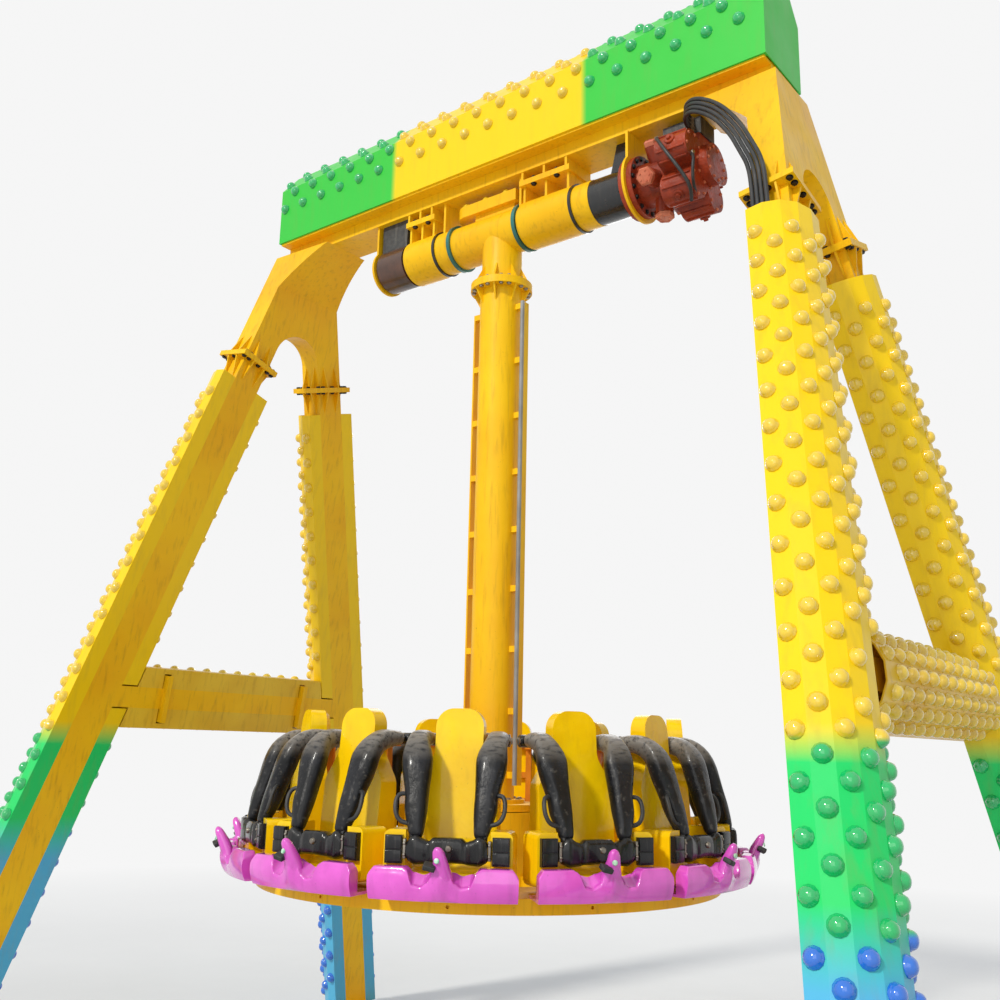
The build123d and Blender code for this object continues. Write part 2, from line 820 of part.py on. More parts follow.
def seat_ladder():
    """Ladder frame behind the seat, with the lugs and the axle of its harness."""
    back = seat_rear - ladder_tube
    half = ladder_width / 2
    body = box((back, seat_rear), (-half, half), (axle_height - ladder_tube, axle_height))
    step = (axle_height - ladder_tube - deck_top) / ladder_rungs
    for place in range(1, ladder_rungs):
        z = deck_top + step * place
        body += box((back, seat_rear), (-half, half), (z - ladder_tube / 2, z + ladder_tube / 2))
    reach = axle_place - 2 * axle_radius
    for side in (-1, 1):
        y = sorted((side * half, side * (half - ladder_tube)))
        body += box((back, seat_rear), y, (deck_top, axle_height))
        body += box((reach, seat_rear), y, (axle_height - ladder_tube, axle_height + 2 * axle_radius))
    axle = Pos(axle_place, 0, axle_height) * Rot(90, 0, 0) * Cylinder(axle_radius, 2 * axle_half)
    return body + axle


def side_housing():
    """Rounded housing beside the seat, open to the front for the latch block."""
    y = (seat_width / 2, housing_outer)
    body = box((housing_back, housing_front), y, (housing_bottom, housing_top))
    body = fillet(body.edges().filter_by(Axis.X).group_by(Axis.Y)[-1], 35)
    inner = housing_wall
    pocket = box((latch_back(), housing_front), (y[0] + inner, y[1] - inner), latch_limits())
    return body - pocket


def latch_back():
    return housing_front - 60


def latch_limits():
    """Heights of the latch block inside its housing."""
    return lap_bottom + 10, lap_top - 5


def latch():
    """Black latch block seated in the pocket of its side housing."""
    y = (seat_width / 2 + housing_wall, housing_outer - housing_wall)
    return box((latch_back(), latch_front), y, latch_limits())


def both_sides(piece):
    return [piece, mirror(piece, about=Plane.XZ)]


def harness():
    """Over-shoulder harness of the seat: two padded arms on the axle, joined by the lap piece."""
    start = (axle_place, axle_height)
    top = (axle_place + harness_shoulder, axle_height)
    low = ((lap_back + lap_front) / 2, lap_top - 60)
    path = Plane.XZ * FilletPolyline(start, top, low, radius=harness_bend)
    width = harness_outer - harness_inner
    section = Plane(origin=path @ 0, x_dir=(0, 1, 0), z_dir=path % 0) * Rectangle(width, harness_thick)
    arm_solid = Pos(0, (harness_inner + harness_outer) / 2, 0) * sweep(section, path=path)
    arm_solid &= harness_outline()
    hub_place = Pos(axle_place, (harness_inner + harness_outer) / 2, axle_height) * Rot(90, 0, 0)
    arm_solid += hub_place * Cylinder(harness_hub_radius, width)
    arm_solid -= hub_place * Cylinder(axle_radius + axle_clearance, width * 2)
    half = lap_width / 2
    lap = box((lap_back, lap_front), (-half, half), (lap_bottom, lap_top))
    lap = fillet(lap.edges().filter_by(Axis.Y), 28)
    return lap + both_sides(arm_solid)


def harness_outline():
    """Outline of a harness arm from the front: wide over the shoulder, narrow at the lap."""
    high = axle_height + harness_thick
    low = lap_bottom
    points = [(harness_inner, high), (harness_outer, high), (harness_outer, axle_height - 120)]
    points += [(lap_width / 2 - 5, lap_top), (lap_width / 2 - 5, low)]
    points += [(harness_inner + 5, low), (harness_inner, axle_height - 120)]
    plane = Plane(origin=(0, 0, 0), x_dir=(0, 1, 0), z_dir=(1, 0, 0))
    return extrude(plane * make_face(Polyline(*points, close=True)), lap_front + harness_bend)


def fairing():
    """Glossy front panel of a seat: two leg recesses and a horn between them, on a foot over the deck."""
    inner = fairing_outer - fairing_wall
    height = fairing_top - deck_top
    points = [(fairing_foot, deck_top), (fairing_outer - 30, deck_top), (fairing_outer, deck_top + height * 0.35)]
    points += [(fairing_outer - 12, deck_top + height * 0.8), (fairing_outer - 35, fairing_top)]
    points += [(inner + 12, fairing_top), (inner, fairing_top - 12), (inner, deck_top + 14)]
    points += [(fairing_foot, deck_top + 14)]
    span = seat_pitch - fairing_gap
    face = Plane.XZ * make_face(Polyline(*points, close=True))
    body = Rot(0, 0, -span / 2) * revolve(face, axis=Axis.Z, revolution_arc=span)
    for side in (-1, 1):
        place = Pos(fairing_outer, side * recess_offset, fairing_top + recess_radius - recess_depth)
        body -= place * Rot(0, 90, 0) * Cylinder(recess_radius, 2 * fairing_wall + 60)
    return body + horn()


def horn():
    """Horn that leans out between the rider's legs, from a wide root to a rounded tip."""
    root = Plane(origin=(fairing_outer - 42, 0, fairing_top - 45), x_dir=(0, 1, 0), z_dir=(0.25, 0, 1))
    middle = Plane(origin=(fairing_outer - 5, 0, fairing_top + 25), x_dir=(0, 1, 0), z_dir=(0.5, 0, 1))
    tip = Plane(origin=(horn_radius - 26, 0, horn_height - 12), x_dir=(0, 1, 0), z_dir=(0.75, 0, 1))
    sections = [root * RectangleRounded(horn_width * 1.3, 70, 24)]
    sections.append(middle * RectangleRounded(horn_width * 0.85, 56, 22))
    sections.append(tip * RectangleRounded(horn_width * 0.55, 34, 14))
    return loft(sections)


def write(name, pieces):
    """Write one sub-part, as one or more solids, to its own file."""
    solids = [solid for piece in pieces for solid in piece.solids()]
    export_step(Compound(solids), f"parts/{name}.step")


def write_frame():
    half = beam_cover_length / 2
    middle = beam_cover_middle / 2
    write("top_girder", [girder()])
    write("beam_cover_left", [beam_cover(-half, -middle, cover_wall, 0)])
    write("beam_cover_middle", [beam_cover(-middle, middle, 0, 0)])
    write("beam_cover_right", [beam_cover(middle, half, 0, cover_wall)])
    right_head = head()
    write("head_right", [right_head])
    write("head_left", [left_of(right_head)])
    for name, piece in (("leg", leg()), ("leg_cover", leg_cover())):
        write(name + "_front_right", [piece])
        write(name + "_back_right", [back_of(piece)])
        write(name + "_front_left", [left_of(piece)])
        write(name + "_back_left", [left_of(back_of(piece))])
    for name, piece in (("brace", brace()), ("brace_cover", brace_cover())):
        write(name + "_right", [piece])
        write(name + "_left", [left_of(piece)])


def write_shaft_line():
    write("shaft_hangers", hangers())
    write("bearing_left", [left_bearing()])
    write("bearing_right", [right_bearing()])
    write("gland_rings", gland_rings())
    write("slip_ring", [slip_ring()])
    write("junction_box", [junction_box()])
    write("drive_coupling", [coupling()])
    write("star_motor", [motor()])
    write("motor_block", [motor_block()])
    write("hose_bulkhead", [hose_bulkhead()])
    for place, shift in enumerate(hose_shifts()):
        write(f"hose_{place + 1}", [hose(shift)])


def write_pendulum():
    write("pivot_tee", [pivot_tee()])
    write("seal_rings", seal_rings())
    write("light_tray", [light_tray()])
    write("arm_tube", [arm()])
    write("arm_rails", [arm_rail(1), arm_rail(-1)])
    write("arm_conduit", [conduit()])
    write("turntable_ring", [turntable()])


def write_gondola():
    write("gondola_frame", [gondola_frame()])
    write("seat_ladders", around([seat_ladder()]))
    write("seat_shells", around([seat()]))
    write("side_housings", around(both_sides(side_housing())))
    write("latch_blocks", around(both_sides(latch())))
    write("fairing_panels", around([fairing()]))
    for place, piece in enumerate(around([harness()])):
        write(f"harness_{place + 1:02d}", [piece])


os.makedirs("parts", exist_ok=True)
write_frame()
write_shaft_line()
write_pendulum()
write_gondola()
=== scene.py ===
import math

import bmesh
import bpy
from mathutils import Matrix, Vector


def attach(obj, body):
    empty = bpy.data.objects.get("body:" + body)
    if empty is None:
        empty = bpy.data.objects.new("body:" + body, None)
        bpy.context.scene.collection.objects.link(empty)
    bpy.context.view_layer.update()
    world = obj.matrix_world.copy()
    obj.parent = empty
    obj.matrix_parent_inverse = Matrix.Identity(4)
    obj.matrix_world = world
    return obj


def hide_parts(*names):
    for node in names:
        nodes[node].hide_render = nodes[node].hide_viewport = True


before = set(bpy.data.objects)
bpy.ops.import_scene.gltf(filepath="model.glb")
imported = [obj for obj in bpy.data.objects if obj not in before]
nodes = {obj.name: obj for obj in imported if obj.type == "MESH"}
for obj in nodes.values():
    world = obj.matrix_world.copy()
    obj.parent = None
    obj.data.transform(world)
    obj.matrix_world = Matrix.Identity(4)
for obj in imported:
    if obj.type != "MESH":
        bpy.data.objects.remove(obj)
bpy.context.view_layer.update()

# Sizes shared with the part, in metres
PIVOT = 5.854
FOOT = Vector((3.085, -1.958, 0.0))
JOINT = Vector((2.202, -0.392, 5.236))
LEAN = math.atan2(FOOT.x - JOINT.x, JOINT.z)
OUT = Vector((math.cos(LEAN), 0.0, math.sin(LEAN)))
UP = (JOINT - FOOT).normalized()
SIDE = UP.cross(OUT)
LEG_LENGTH = (JOINT - FOOT).length
COVER_CENTRE = -0.030
COVER_HALF = 0.235
BRACE_CENTRE = -0.0336
BRACE_HALF = 0.218
BRACE_Z = 2.63
GIRDER = 6.19
COVER_BASE = GIRDER + 0.103
SEATS = 12
AXLE = Vector((1.025, 0.0, 2.35))


# Material helpers

def linear(red, green, blue):
    """Colour from eye values of 0 to 255."""
    def channel(value):
        share = value / 255
        return share / 12.92 if share <= 0.04045 else ((share + 0.055) / 1.055) ** 2.4
    return (channel(red), channel(green), channel(blue), 1.0)


def add(nt, kind, **inputs):
    made = nt.nodes.new("ShaderNode" + kind)
    for name, value in inputs.items():
        target = made.inputs[name.replace("_", " ")]
        if isinstance(value, bpy.types.NodeSocket):
            nt.links.new(value, target)
        else:
            target.default_value = value
    return made


def place_of(nt, stretch=(1, 1, 1)):
    """Place on the object, stretched along its axes."""
    where = nt.nodes.new("ShaderNodeTexCoord").outputs["Object"]
    if stretch == (1, 1, 1):
        return where
    return add(nt, "Mapping", Vector=where, Scale=stretch).outputs["Vector"]


def noise(nt, where, scale, low=0.35, high=0.65, detail=3.0):
    found = add(nt, "TexNoise", Vector=where, Scale=scale, Detail=detail, Roughness=0.55)
    ranged = add(nt, "MapRange", Value=found.outputs["Fac"])
    ranged.inputs["From Min"].default_value = low
    ranged.inputs["From Max"].default_value = high
    return ranged.outputs["Result"]


def mix(nt, factor, first, second):
    made = nt.nodes.new("ShaderNodeMix")
    made.data_type = "RGBA"
    for socket, value in ((made.inputs[0], factor), (made.inputs[6], first), (made.inputs[7], second)):
        if isinstance(value, bpy.types.NodeSocket):
            nt.links.new(value, socket)
        else:
            socket.default_value = value
    return made.outputs[2]


def scaled(nt, value, factor):
    made = nt.nodes.new("ShaderNodeMath")
    made.operation = "MULTIPLY"
    nt.links.new(value, made.inputs[0])
    made.inputs[1].default_value = factor
    return made.outputs[0]


def along(nt, axis, start, end):
    """Share of the way from start to end along an axis of the object."""
    split = add(nt, "SeparateXYZ", Vector=place_of(nt))
    ranged = add(nt, "MapRange", Value=split.outputs[axis])
    ranged.inputs["From Min"].default_value = start
    ranged.inputs["From Max"].default_value = end
    return ranged.outputs["Result"]


def material(name, color, rough=(0.3, 0.45), bumps=(), **values):
    """Material with a colour network, a roughness that varies, and layers of bump."""
    made = bpy.data.materials.new(name)
    made.use_nodes = True
    nt = made.node_tree
    shader = nt.nodes["Principled BSDF"]
    nt.links.new(color(nt), shader.inputs["Base Color"])
    wear = noise(nt, place_of(nt), 3.1)
    ranged = add(nt, "MapRange", Value=wear)
    ranged.inputs["To Min"].default_value = rough[0]
    ranged.inputs["To Max"].default_value = rough[1]
    nt.links.new(ranged.outputs["Result"], shader.inputs["Roughness"])
    normal = None
    for scale, height, stretch in bumps:
        bump = nt.nodes.new("ShaderNodeBump")
        bump.inputs["Distance"].default_value = height
        nt.links.new(noise(nt, place_of(nt, stretch), scale, 0.3, 0.7), bump.inputs["Height"])
        if normal:
            nt.links.new(normal, bump.inputs["Normal"])
        normal = bump.outputs["Normal"]
    if normal:
        nt.links.new(normal, shader.inputs["Normal"])
    for socket, value in values.items():
        shader.inputs[socket.replace("_", " ")].default_value = value
    return made


def varied(light, dark, dirt, grain=1.4, dirt_share=0.35, streaks=(14, 14, 1.6)):
    """Paint colour that drifts between two shades, with fine dirt in streaks."""
    def color(nt):
        body = mix(nt, noise(nt, place_of(nt), grain), light, dark)
        grime = scaled(nt, noise(nt, place_of(nt, streaks), 2.4, 0.52, 0.78, 6.0), dirt_share)
        body = mix(nt, grime, body, dirt)
        chips = scaled(nt, noise(nt, place_of(nt), 60.0, 0.70, 0.76, 2.0), 0.35)
        return mix(nt, chips, body, dirt)
    return color


def zoned(axis, stops, dirt, share=0.22):
    """Paint in zones along an axis: each stop is a place and the colour there, with even blends between."""
    def color(nt):
        start, end = stops[0][0], stops[-1][0]
        ramp = nt.nodes.new("ShaderNodeValToRGB")
        while len(ramp.color_ramp.elements) < len(stops):
            ramp.color_ramp.elements.new(0.5)
        for element, (place, shade) in zip(ramp.color_ramp.elements, stops):
            element.position = (place - start) / (end - start)
            element.color = shade
        nt.links.new(along(nt, axis, start, end), ramp.inputs["Fac"])
        grime = scaled(nt, noise(nt, place_of(nt, (9, 9, 1.5)), 2.0, 0.5, 0.8, 6.0), share)
        return mix(nt, grime, ramp.outputs["Color"], dirt)
    return color


AMBER = linear(248, 198, 14)
AMBER_DARK = linear(240, 180, 10)
SHADE = linear(136, 86, 22)
YELLOW = linear(248, 208, 16)
GREEN = linear(58, 196, 66)
SPRING = linear(36, 208, 104)
BLUE = linear(84, 176, 214)
LEG_STOPS = [(1.3, BLUE), (1.52, BLUE), (1.80, SPRING), (2.28, SPRING), (2.43, YELLOW), (2.6, YELLOW)]
BULB_YELLOW = linear(244, 206, 44)
BULB_GREEN = linear(10, 186, 100)
BULB_BLUE = linear(30, 112, 214)
BULB_LEG = [(1.3, BULB_BLUE), (1.68, BULB_BLUE), (1.70, BULB_GREEN), (2.36, BULB_GREEN), (2.38, BULB_YELLOW),
            (2.6, BULB_YELLOW)]
DUST = linear(150, 118, 60)

BEAM_STOPS = [(-2.2, GREEN), (-0.87, GREEN), (-0.82, YELLOW), (0.82, YELLOW), (0.87, GREEN), (2.2, GREEN)]
BULB_BEAM = [(-2.2, BULB_GREEN), (-0.86, BULB_GREEN), (-0.84, BULB_YELLOW), (0.84, BULB_YELLOW),
             (0.86, BULB_GREEN), (2.2, BULB_GREEN)]

gloss = {"Coat Weight": 0.35, "Coat Roughness": 0.12}
satin = {"Coat Weight": 0.08, "Coat Roughness": 0.2, "Specular IOR Level": 0.22}
steel_paint = material("amber_paint", varied(AMBER, AMBER_DARK, SHADE), (0.36, 0.52),
                       [(9.0, 0.0012, (1, 1, 1)), (140.0, 0.0002, (1, 1, 1))], **satin)
leg_paint = material("cover_paint_legs", zoned("Z", LEG_STOPS, DUST), (0.3, 0.42),
                     [(4.0, 0.0012, (1, 1, 1))], **satin)
beam_paint = material("cover_paint_girder", zoned("X", BEAM_STOPS, DUST, 0.1), (0.32, 0.44),
                      [(3.0, 0.001, (1, 1, 1))], **satin)
brace_paint = material("cover_paint_braces", varied(linear(238, 200, 56), linear(220, 172, 36), SHADE),
                       (0.3, 0.44), [(5.0, 0.0012, (1, 1, 1))], **satin)
bulb_gloss = {"Coat Weight": 1.0, "Coat Roughness": 0.04, "Transmission Weight": 0.08, "IOR": 1.49}
bulb_leg = material("bulb_glass_legs", zoned("Z", BULB_LEG, SHADE, 0.1), (0.08, 0.16), **bulb_gloss)
bulb_beam = material("bulb_glass_girder", zoned("X", BULB_BEAM, SHADE, 0.1), (0.08, 0.16), **bulb_gloss)
bulb_amber = material("bulb_glass_amber", varied(linear(244, 212, 52), linear(228, 188, 34), SHADE),
                      (0.08, 0.18), **bulb_gloss)
black_gloss = material("black_gloss", varied(linear(30, 31, 32), linear(20, 20, 21), linear(70, 64, 56)),
                       (0.18, 0.35), [(30.0, 0.0006, (1, 1, 1))], **gloss)
black_bolt = material("black_bolts", varied(linear(34, 32, 31), linear(22, 21, 20), linear(80, 60, 44)),
                      (0.35, 0.55), Metallic=0.4)
steel_bolt = material("plated_bolts", varied(linear(168, 162, 150), linear(132, 126, 116),
                                             linear(92, 70, 50)),
                      (0.28, 0.5), Metallic=0.9)
motor_red = material("motor_red", varied(linear(166, 62, 30), linear(126, 42, 18), linear(84, 44, 26), 7.0),
                     (0.3, 0.5), [(70.0, 0.0012, (1, 1, 1)), (14.0, 0.003, (1, 1, 1))],
                     **{"Coat Weight": 0.1, "Specular IOR Level": 0.3})
motor_pale = material("motor_caps", varied(linear(216, 132, 100), linear(188, 98, 70),
                                           linear(110, 58, 40), 9.0),
                      (0.35, 0.55), [(60.0, 0.0006, (1, 1, 1))], **{"Specular IOR Level": 0.3})
bronze = material("drum_bronze", varied(linear(92, 58, 40), linear(58, 38, 28), linear(30, 24, 20), 4.0),
                  (0.25, 0.45), [(50.0, 0.0006, (1, 1, 1))], **{"Coat Weight": 0.4})
speckled = material("box_speckled", varied(linear(64, 64, 62), linear(44, 44, 44),
                                           linear(112, 108, 98), 26.0, 0.8),
                    (0.4, 0.6), [(90.0, 0.001, (1, 1, 1))])
teal = material("seal_teal", varied(linear(28, 118, 112), linear(16, 88, 86), linear(20, 44, 42), 6.0),
                (0.25, 0.4), **gloss)
rubber = material("hose_rubber", varied(linear(44, 45, 46), linear(30, 31, 32), linear(86, 82, 76), 8.0, 0.5),
                  (0.42, 0.62), [(160.0, 0.0004, (1, 1, 1))])
grey_plastic = material("conduit_grey", varied(linear(150, 150, 148), linear(124, 124, 122),
                                               linear(90, 82, 70), 5.0),
                        (0.4, 0.55), [(80.0, 0.0003, (1, 1, 1))])
orange_paint = material("ladder_orange", varied(linear(226, 140, 24), linear(200, 112, 18), SHADE, 5.0),
                        (0.3, 0.46), [(12.0, 0.001, (1, 1, 1))], **{"Coat Weight": 0.3})
seat_yellow = material("seat_yellow", varied(linear(254, 212, 10), linear(246, 196, 8),
                                             linear(160, 112, 30), 3.0, 0.2, (7, 7, 2)),
                       (0.16, 0.28), [(6.0, 0.003, (1, 1, 1))],
                       **{"Coat Weight": 0.25, "Coat Roughness": 0.05, "Specular IOR Level": 0.2})
magenta = material("panel_magenta", varied(linear(226, 88, 204), linear(206, 68, 184),
                                           linear(120, 50, 104), 4.0, 0.25, (7, 7, 2)),
                   (0.12, 0.24), [(5.0, 0.002, (1, 1, 1))], **{"Coat Weight": 1.0, "Coat Roughness": 0.04})
pale_green = material("disc_pale_green", varied(linear(208, 232, 214), linear(120, 196, 150),
                                                linear(90, 110, 96), 60.0, 0.2), (0.3, 0.4))
moulded = material("black_moulding", varied(linear(26, 27, 29), linear(15, 16, 17),
                                            linear(84, 80, 76), 7.0, 0.5),
                   (0.16, 0.32), [(220.0, 0.0003, (1, 1, 1))],
                   **{"Coat Weight": 0.3, "Coat Roughness": 0.06, "Specular IOR Level": 0.25})


def pad_color(nt):
    """Black pad skin, scuffed grey where hands and shoulders rub its top."""
    body = mix(nt, noise(nt, place_of(nt), 9.0), linear(30, 31, 35), linear(18, 19, 21))
    top = along(nt, "Z", 2.24, 2.39)
    scuff = nt.nodes.new("ShaderNodeMath")
    scuff.operation = "MULTIPLY"
    nt.links.new(top, scuff.inputs[0])
    nt.links.new(noise(nt, place_of(nt, (40, 12, 40)), 1.4, 0.28, 0.5, 8.0), scuff.inputs[1])
    body = mix(nt, scuff.outputs[0], body, linear(138, 132, 124))
    small = scaled(nt, noise(nt, place_of(nt), 34.0, 0.60, 0.7, 6.0), 0.4)
    return mix(nt, small, body, linear(104, 100, 94))


pad_skin = material("pad_skin", pad_color, (0.26, 0.42),
                    [(260.0, 0.0004, (1, 1, 1)), (12.0, 0.003, (1, 1, 1))],
                    **{"Coat Weight": 0.15, "Coat Roughness": 0.12, "Specular IOR Level": 0.22})


# Mesh helpers

def piece(name, bm, skin, body, smooth=True):
    """Finished object from a bmesh, riding on a body."""
    mesh = bpy.data.meshes.new(name)
    bm.to_mesh(mesh)
    bm.free()
    for polygon in mesh.polygons:
        polygon.use_smooth = smooth
    made = bpy.data.objects.new(name, mesh)
    bpy.context.collection.objects.link(made)
    mesh.materials.append(skin)
    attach(made, body)
    return made


def turned(profile, segments):
    """Rings of a turned shape about +Z: each profile point is a radius and a height."""
    rings = []
    for radius, height in profile:
        ring = []
        for place in range(segments):
            angle = 2 * math.pi * place / segments
            ring.append((radius * math.cos(angle), radius * math.sin(angle), height))
        rings.append(ring)
    return rings


def scatter(name, places, profiles, skin, body, smooth=True):
    """One joined mesh with a turned shape at each place: a point and the direction its top faces."""
    vertices = []
    faces = []
    for point, facing in places:
        turn = Vector((0, 0, 1)).rotation_difference(facing).to_matrix()
        for profile, segments in profiles:
            rings = turned(profile, segments)
            base = len(vertices)
            for ring in rings:
                vertices.extend(tuple(turn @ Vector(corner) + point) for corner in ring)
            for level in range(len(rings) - 1):
                low = base + level * segments
                for place in range(segments):
                    after = (place + 1) % segments
                    faces.append((low + place, low + after, low + segments + after, low + segments + place))
            faces.append(tuple(base + place for place in reversed(range(segments))))
            top = base + (len(rings) - 1) * segments
            faces.append(tuple(top + place for place in range(segments)))
    mesh = bpy.data.meshes.new(name)
    mesh.from_pydata(vertices, [], faces)
    mesh.polygons.foreach_set("use_smooth", [smooth] * len(faces))
    made = bpy.data.objects.new(name, mesh)
    bpy.context.collection.objects.link(made)
    mesh.materials.append(skin)
    if smooth:
        mesh.shade_smooth()
        edge = made.modifiers.new("edges", "EDGE_SPLIT")
        edge.split_angle = math.radians(50)
    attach(made, body)
    return made


def bulb_shape(radius):
    """A lamp: low base ring and a domed cap."""
    share = [(1.0, 0.0), (1.0, 0.16), (0.9, 0.26), (0.86, 0.4), (0.78, 0.58), (0.62, 0.76), (0.4, 0.88),
             (0.14, 0.94)]
    return [([(radius * r, radius * h) for r, h in share], 12)]


def bolt_shape(radius):
    """A hexagon head on its washer."""
    washer = [(radius * 1.25, 0.0), (radius * 1.25, radius * 0.18)]
    head = [(radius, radius * 0.18), (radius, radius * 0.75), (radius * 0.86, radius * 0.85)]
    return [(washer, 16), (head, 6)]


def corner_of(point, left, back):
    """A point on the front right leg, carried to another leg."""
    return Vector((-point.x if left else point.x, -point.y if back else point.y, point.z))


CORNERS = [("front_right", False, False), ("back_right", False, True), ("front_left", True, False),
           ("back_left", True, True)]


# Lamps on the legs, braces, girder and tray

FACET = 22.5
BRACE_POINT = Vector((FOOT.x - BRACE_Z * math.tan(LEAN), 0, BRACE_Z))
BRACE_ACROSS = OUT.cross(Vector((0, 1, 0)))


def leg_bulbs():
    """Staggered columns of lamps up each leg's cover, clear of the brace's cover."""
    pitch = 0.205
    first, last, lowest = 0.22, LEG_LENGTH - 0.305, 0.15
    clear = BRACE_HALF + 0.06
    for name, left, back in CORNERS:
        places = []
        for column in range(9):
            turn = math.radians(FACET * (column - 4))
            facing = OUT * math.cos(turn) + SIDE * math.sin(turn)
            foot = FOOT + OUT * COVER_CENTRE + facing * COVER_HALF
            start = first + (pitch / 2 if column % 2 else 0.0)
            for step in range(int((last - start) / pitch) + 1):
                point = foot + UP * (start + step * pitch)
                off = point - BRACE_POINT
                beside = Vector((off.dot(OUT) - BRACE_CENTRE, off.dot(BRACE_ACROSS)))
                if point.z > lowest and not (column > 3 and beside.length < clear):
                    places.append((corner_of(point, left, back), corner_of(facing, left, back)))
        scatter("leg_bulbs_" + name, places, bulb_shape(0.041), bulb_leg, "frame")


def brace_bulbs():
    """Staggered rows of lamps along each brace's cover, clear of the legs' covers."""
    near = FOOT + SIDE * (COVER_HALF + 0.06)
    for name, left in (("right", False), ("left", True)):
        places = []
        for column in range(1, 8):
            turn = math.radians(FACET * (column - 4))
            facing = OUT * math.cos(turn) + BRACE_ACROSS * math.sin(turn)
            line = BRACE_POINT + OUT * BRACE_CENTRE + facing * BRACE_HALF
            for step in range(-13, 14):
                y = step * 0.150 + (0.075 if column % 2 else 0.0)
                front = Vector((line.x, -abs(y), line.z))
                if (front - near).dot(SIDE) > 0:
                    point = Vector((line.x, y, line.z))
                    places.append((corner_of(point, left, False), corner_of(facing, left, False)))
        scatter("brace_bulbs_" + name, places, bulb_shape(0.039), bulb_amber, "frame")


def girder_bulbs():
    """Five rows of lamps on each side of the girder's covers."""
    half, side, top, slope = 0.26, 0.467, 0.657, 0.155
    tilt = Vector((0, -(top - side), slope)).normalized()
    rows = [(Vector((0, -half, share * side)), Vector((0, -1, 0))) for share in (0.63, 0.91)]
    for share in (0.27, 0.75):
        rows.append((Vector((0, -half + slope * share, side + (top - side) * share)), tilt))
    rows.append((Vector((0, -0.055, top)), Vector((0, 0, 1))))
    places = []
    for number, (point, facing) in enumerate(rows):
        for step in range(20):
            x = (step - 9.5) * 0.212 + (0.053 if number % 2 else -0.053)
            if abs(x) > 2.08:
                continue
            for mirror in (1, -1):
                spot = Vector((x, point.y * mirror, COVER_BASE + point.z))
                places.append((spot, Vector((0, facing.y * mirror, facing.z))))
    scatter("girder_bulbs", places, bulb_shape(0.040), bulb_beam, "frame")


def tray_bulbs():
    """Lamps on the tray over the tee: a middle row with three pairs beside it."""
    spots = [(x, 0.0) for x in (-0.33, -0.24, -0.15, -0.06, 0.03, 0.12)]
    spots += [(x, y) for x in (-0.285, -0.105, 0.075) for y in (-0.062, 0.062)]
    places = [(Vector((x, y, PIVOT + 0.275)), Vector((0, 0, 1))) for x, y in spots]
    scatter("tray_bulbs", places, bulb_shape(0.034), bulb_amber, "pendulum")


# Bolts

def flange_bolts():
    places = []
    for _, left, back in CORNERS:
        for height, sign in ((0.020, 1), (-0.020, -1)):
            for along_side, across_side in flange_spots():
                point = JOINT + UP * height + OUT * (0.023 + along_side) + SIDE * across_side
                places.append((corner_of(point, left, back), corner_of(UP * sign, left, back)))
    scatter("leg_joint_bolts", places, bolt_shape(0.016), black_bolt, "frame", smooth=False)


def flange_spots():
    spots = []
    for shift in (-0.125, 0.0, 0.125):
        spots += [(shift, -0.147), (shift, 0.147)]
    for shift in (-0.10, 0.0, 0.10):
        spots += [(-0.13, shift), (0.13, shift)]
    return spots


def arm_bolts():
    places = []
    for step in range(8):
        for shift in (-8, 8):
            turn = math.radians(45 * step + shift)
            point = Vector((0.192 * math.cos(turn), 0.192 * math.sin(turn), 0))
            places.append((point + Vector((0, 0, 5.466)), Vector((0, 0, 1))))
            places.append((point + Vector((0, 0, 5.414)), Vector((0, 0, -1))))
    for step in range(12):
        turn = math.radians(30 * step + 15)
        point = Vector((0.185 * math.cos(turn), 0.185 * math.sin(turn), 2.004))
        places.append((point, Vector((0, 0, 1))))
    scatter("arm_flange_bolts", places, bolt_shape(0.014), steel_bolt, "pendulum",
            smooth=False)


def bracket_bolts():
    places = []
    level = PIVOT + 0.256
    for start, end in ((-0.808, -0.530), (0.247, 0.663)):
        for share in (0.27, 0.73):
            for y in (-0.125, 0.125):
                x = start + (end - start) * share
                places.append((Vector((x, y, level + 0.020)), Vector((0, 0, 1))))
                places.append((Vector((x, y, level - 0.020)), Vector((0, 0, -1))))
    scatter("bearing_bolts", places, bolt_shape(0.017), black_bolt, "frame", smooth=False)


def ring_of_bolts(x, radius, count, facing, start=0.0):
    found = []
    for step in range(count):
        turn = math.radians(start + 360 / count * step)
        point = Vector((x, radius * math.sin(turn), PIVOT + radius * math.cos(turn)))
        found.append((point, Vector((facing, 0, 0))))
    return found


def drive_bolts():
    places = ring_of_bolts(1.170, 0.176, 16, 1) + ring_of_bolts(1.075, 0.178, 16, -1)
    scatter("motor_flange_bolts", places, bolt_shape(0.014), black_bolt, "frame", smooth=False)
    places = ring_of_bolts(1.662, 0.104, 10, 1, 18)
    scatter("motor_cover_bolts", places, bolt_shape(0.009), motor_pale, "frame", smooth=False)
    places = []
    for step in range(5):
        turn = math.radians(72 * step + 36)
        up = Vector((0, math.sin(turn), math.cos(turn)))
        side = Vector((0, math.cos(turn), -math.sin(turn)))
        centre = Vector((1.300, 0, PIVOT)) + up * 0.267
        for corner in range(5):
            angle = math.radians(72 * corner)
            point = centre + (Vector((1, 0, 0)) * math.cos(angle) + side * math.sin(angle)) * 0.034
            places.append((point, up))
    scatter("motor_cap_bolts", places, bolt_shape(0.007), motor_pale, "frame", smooth=False)


# Shaft line trim

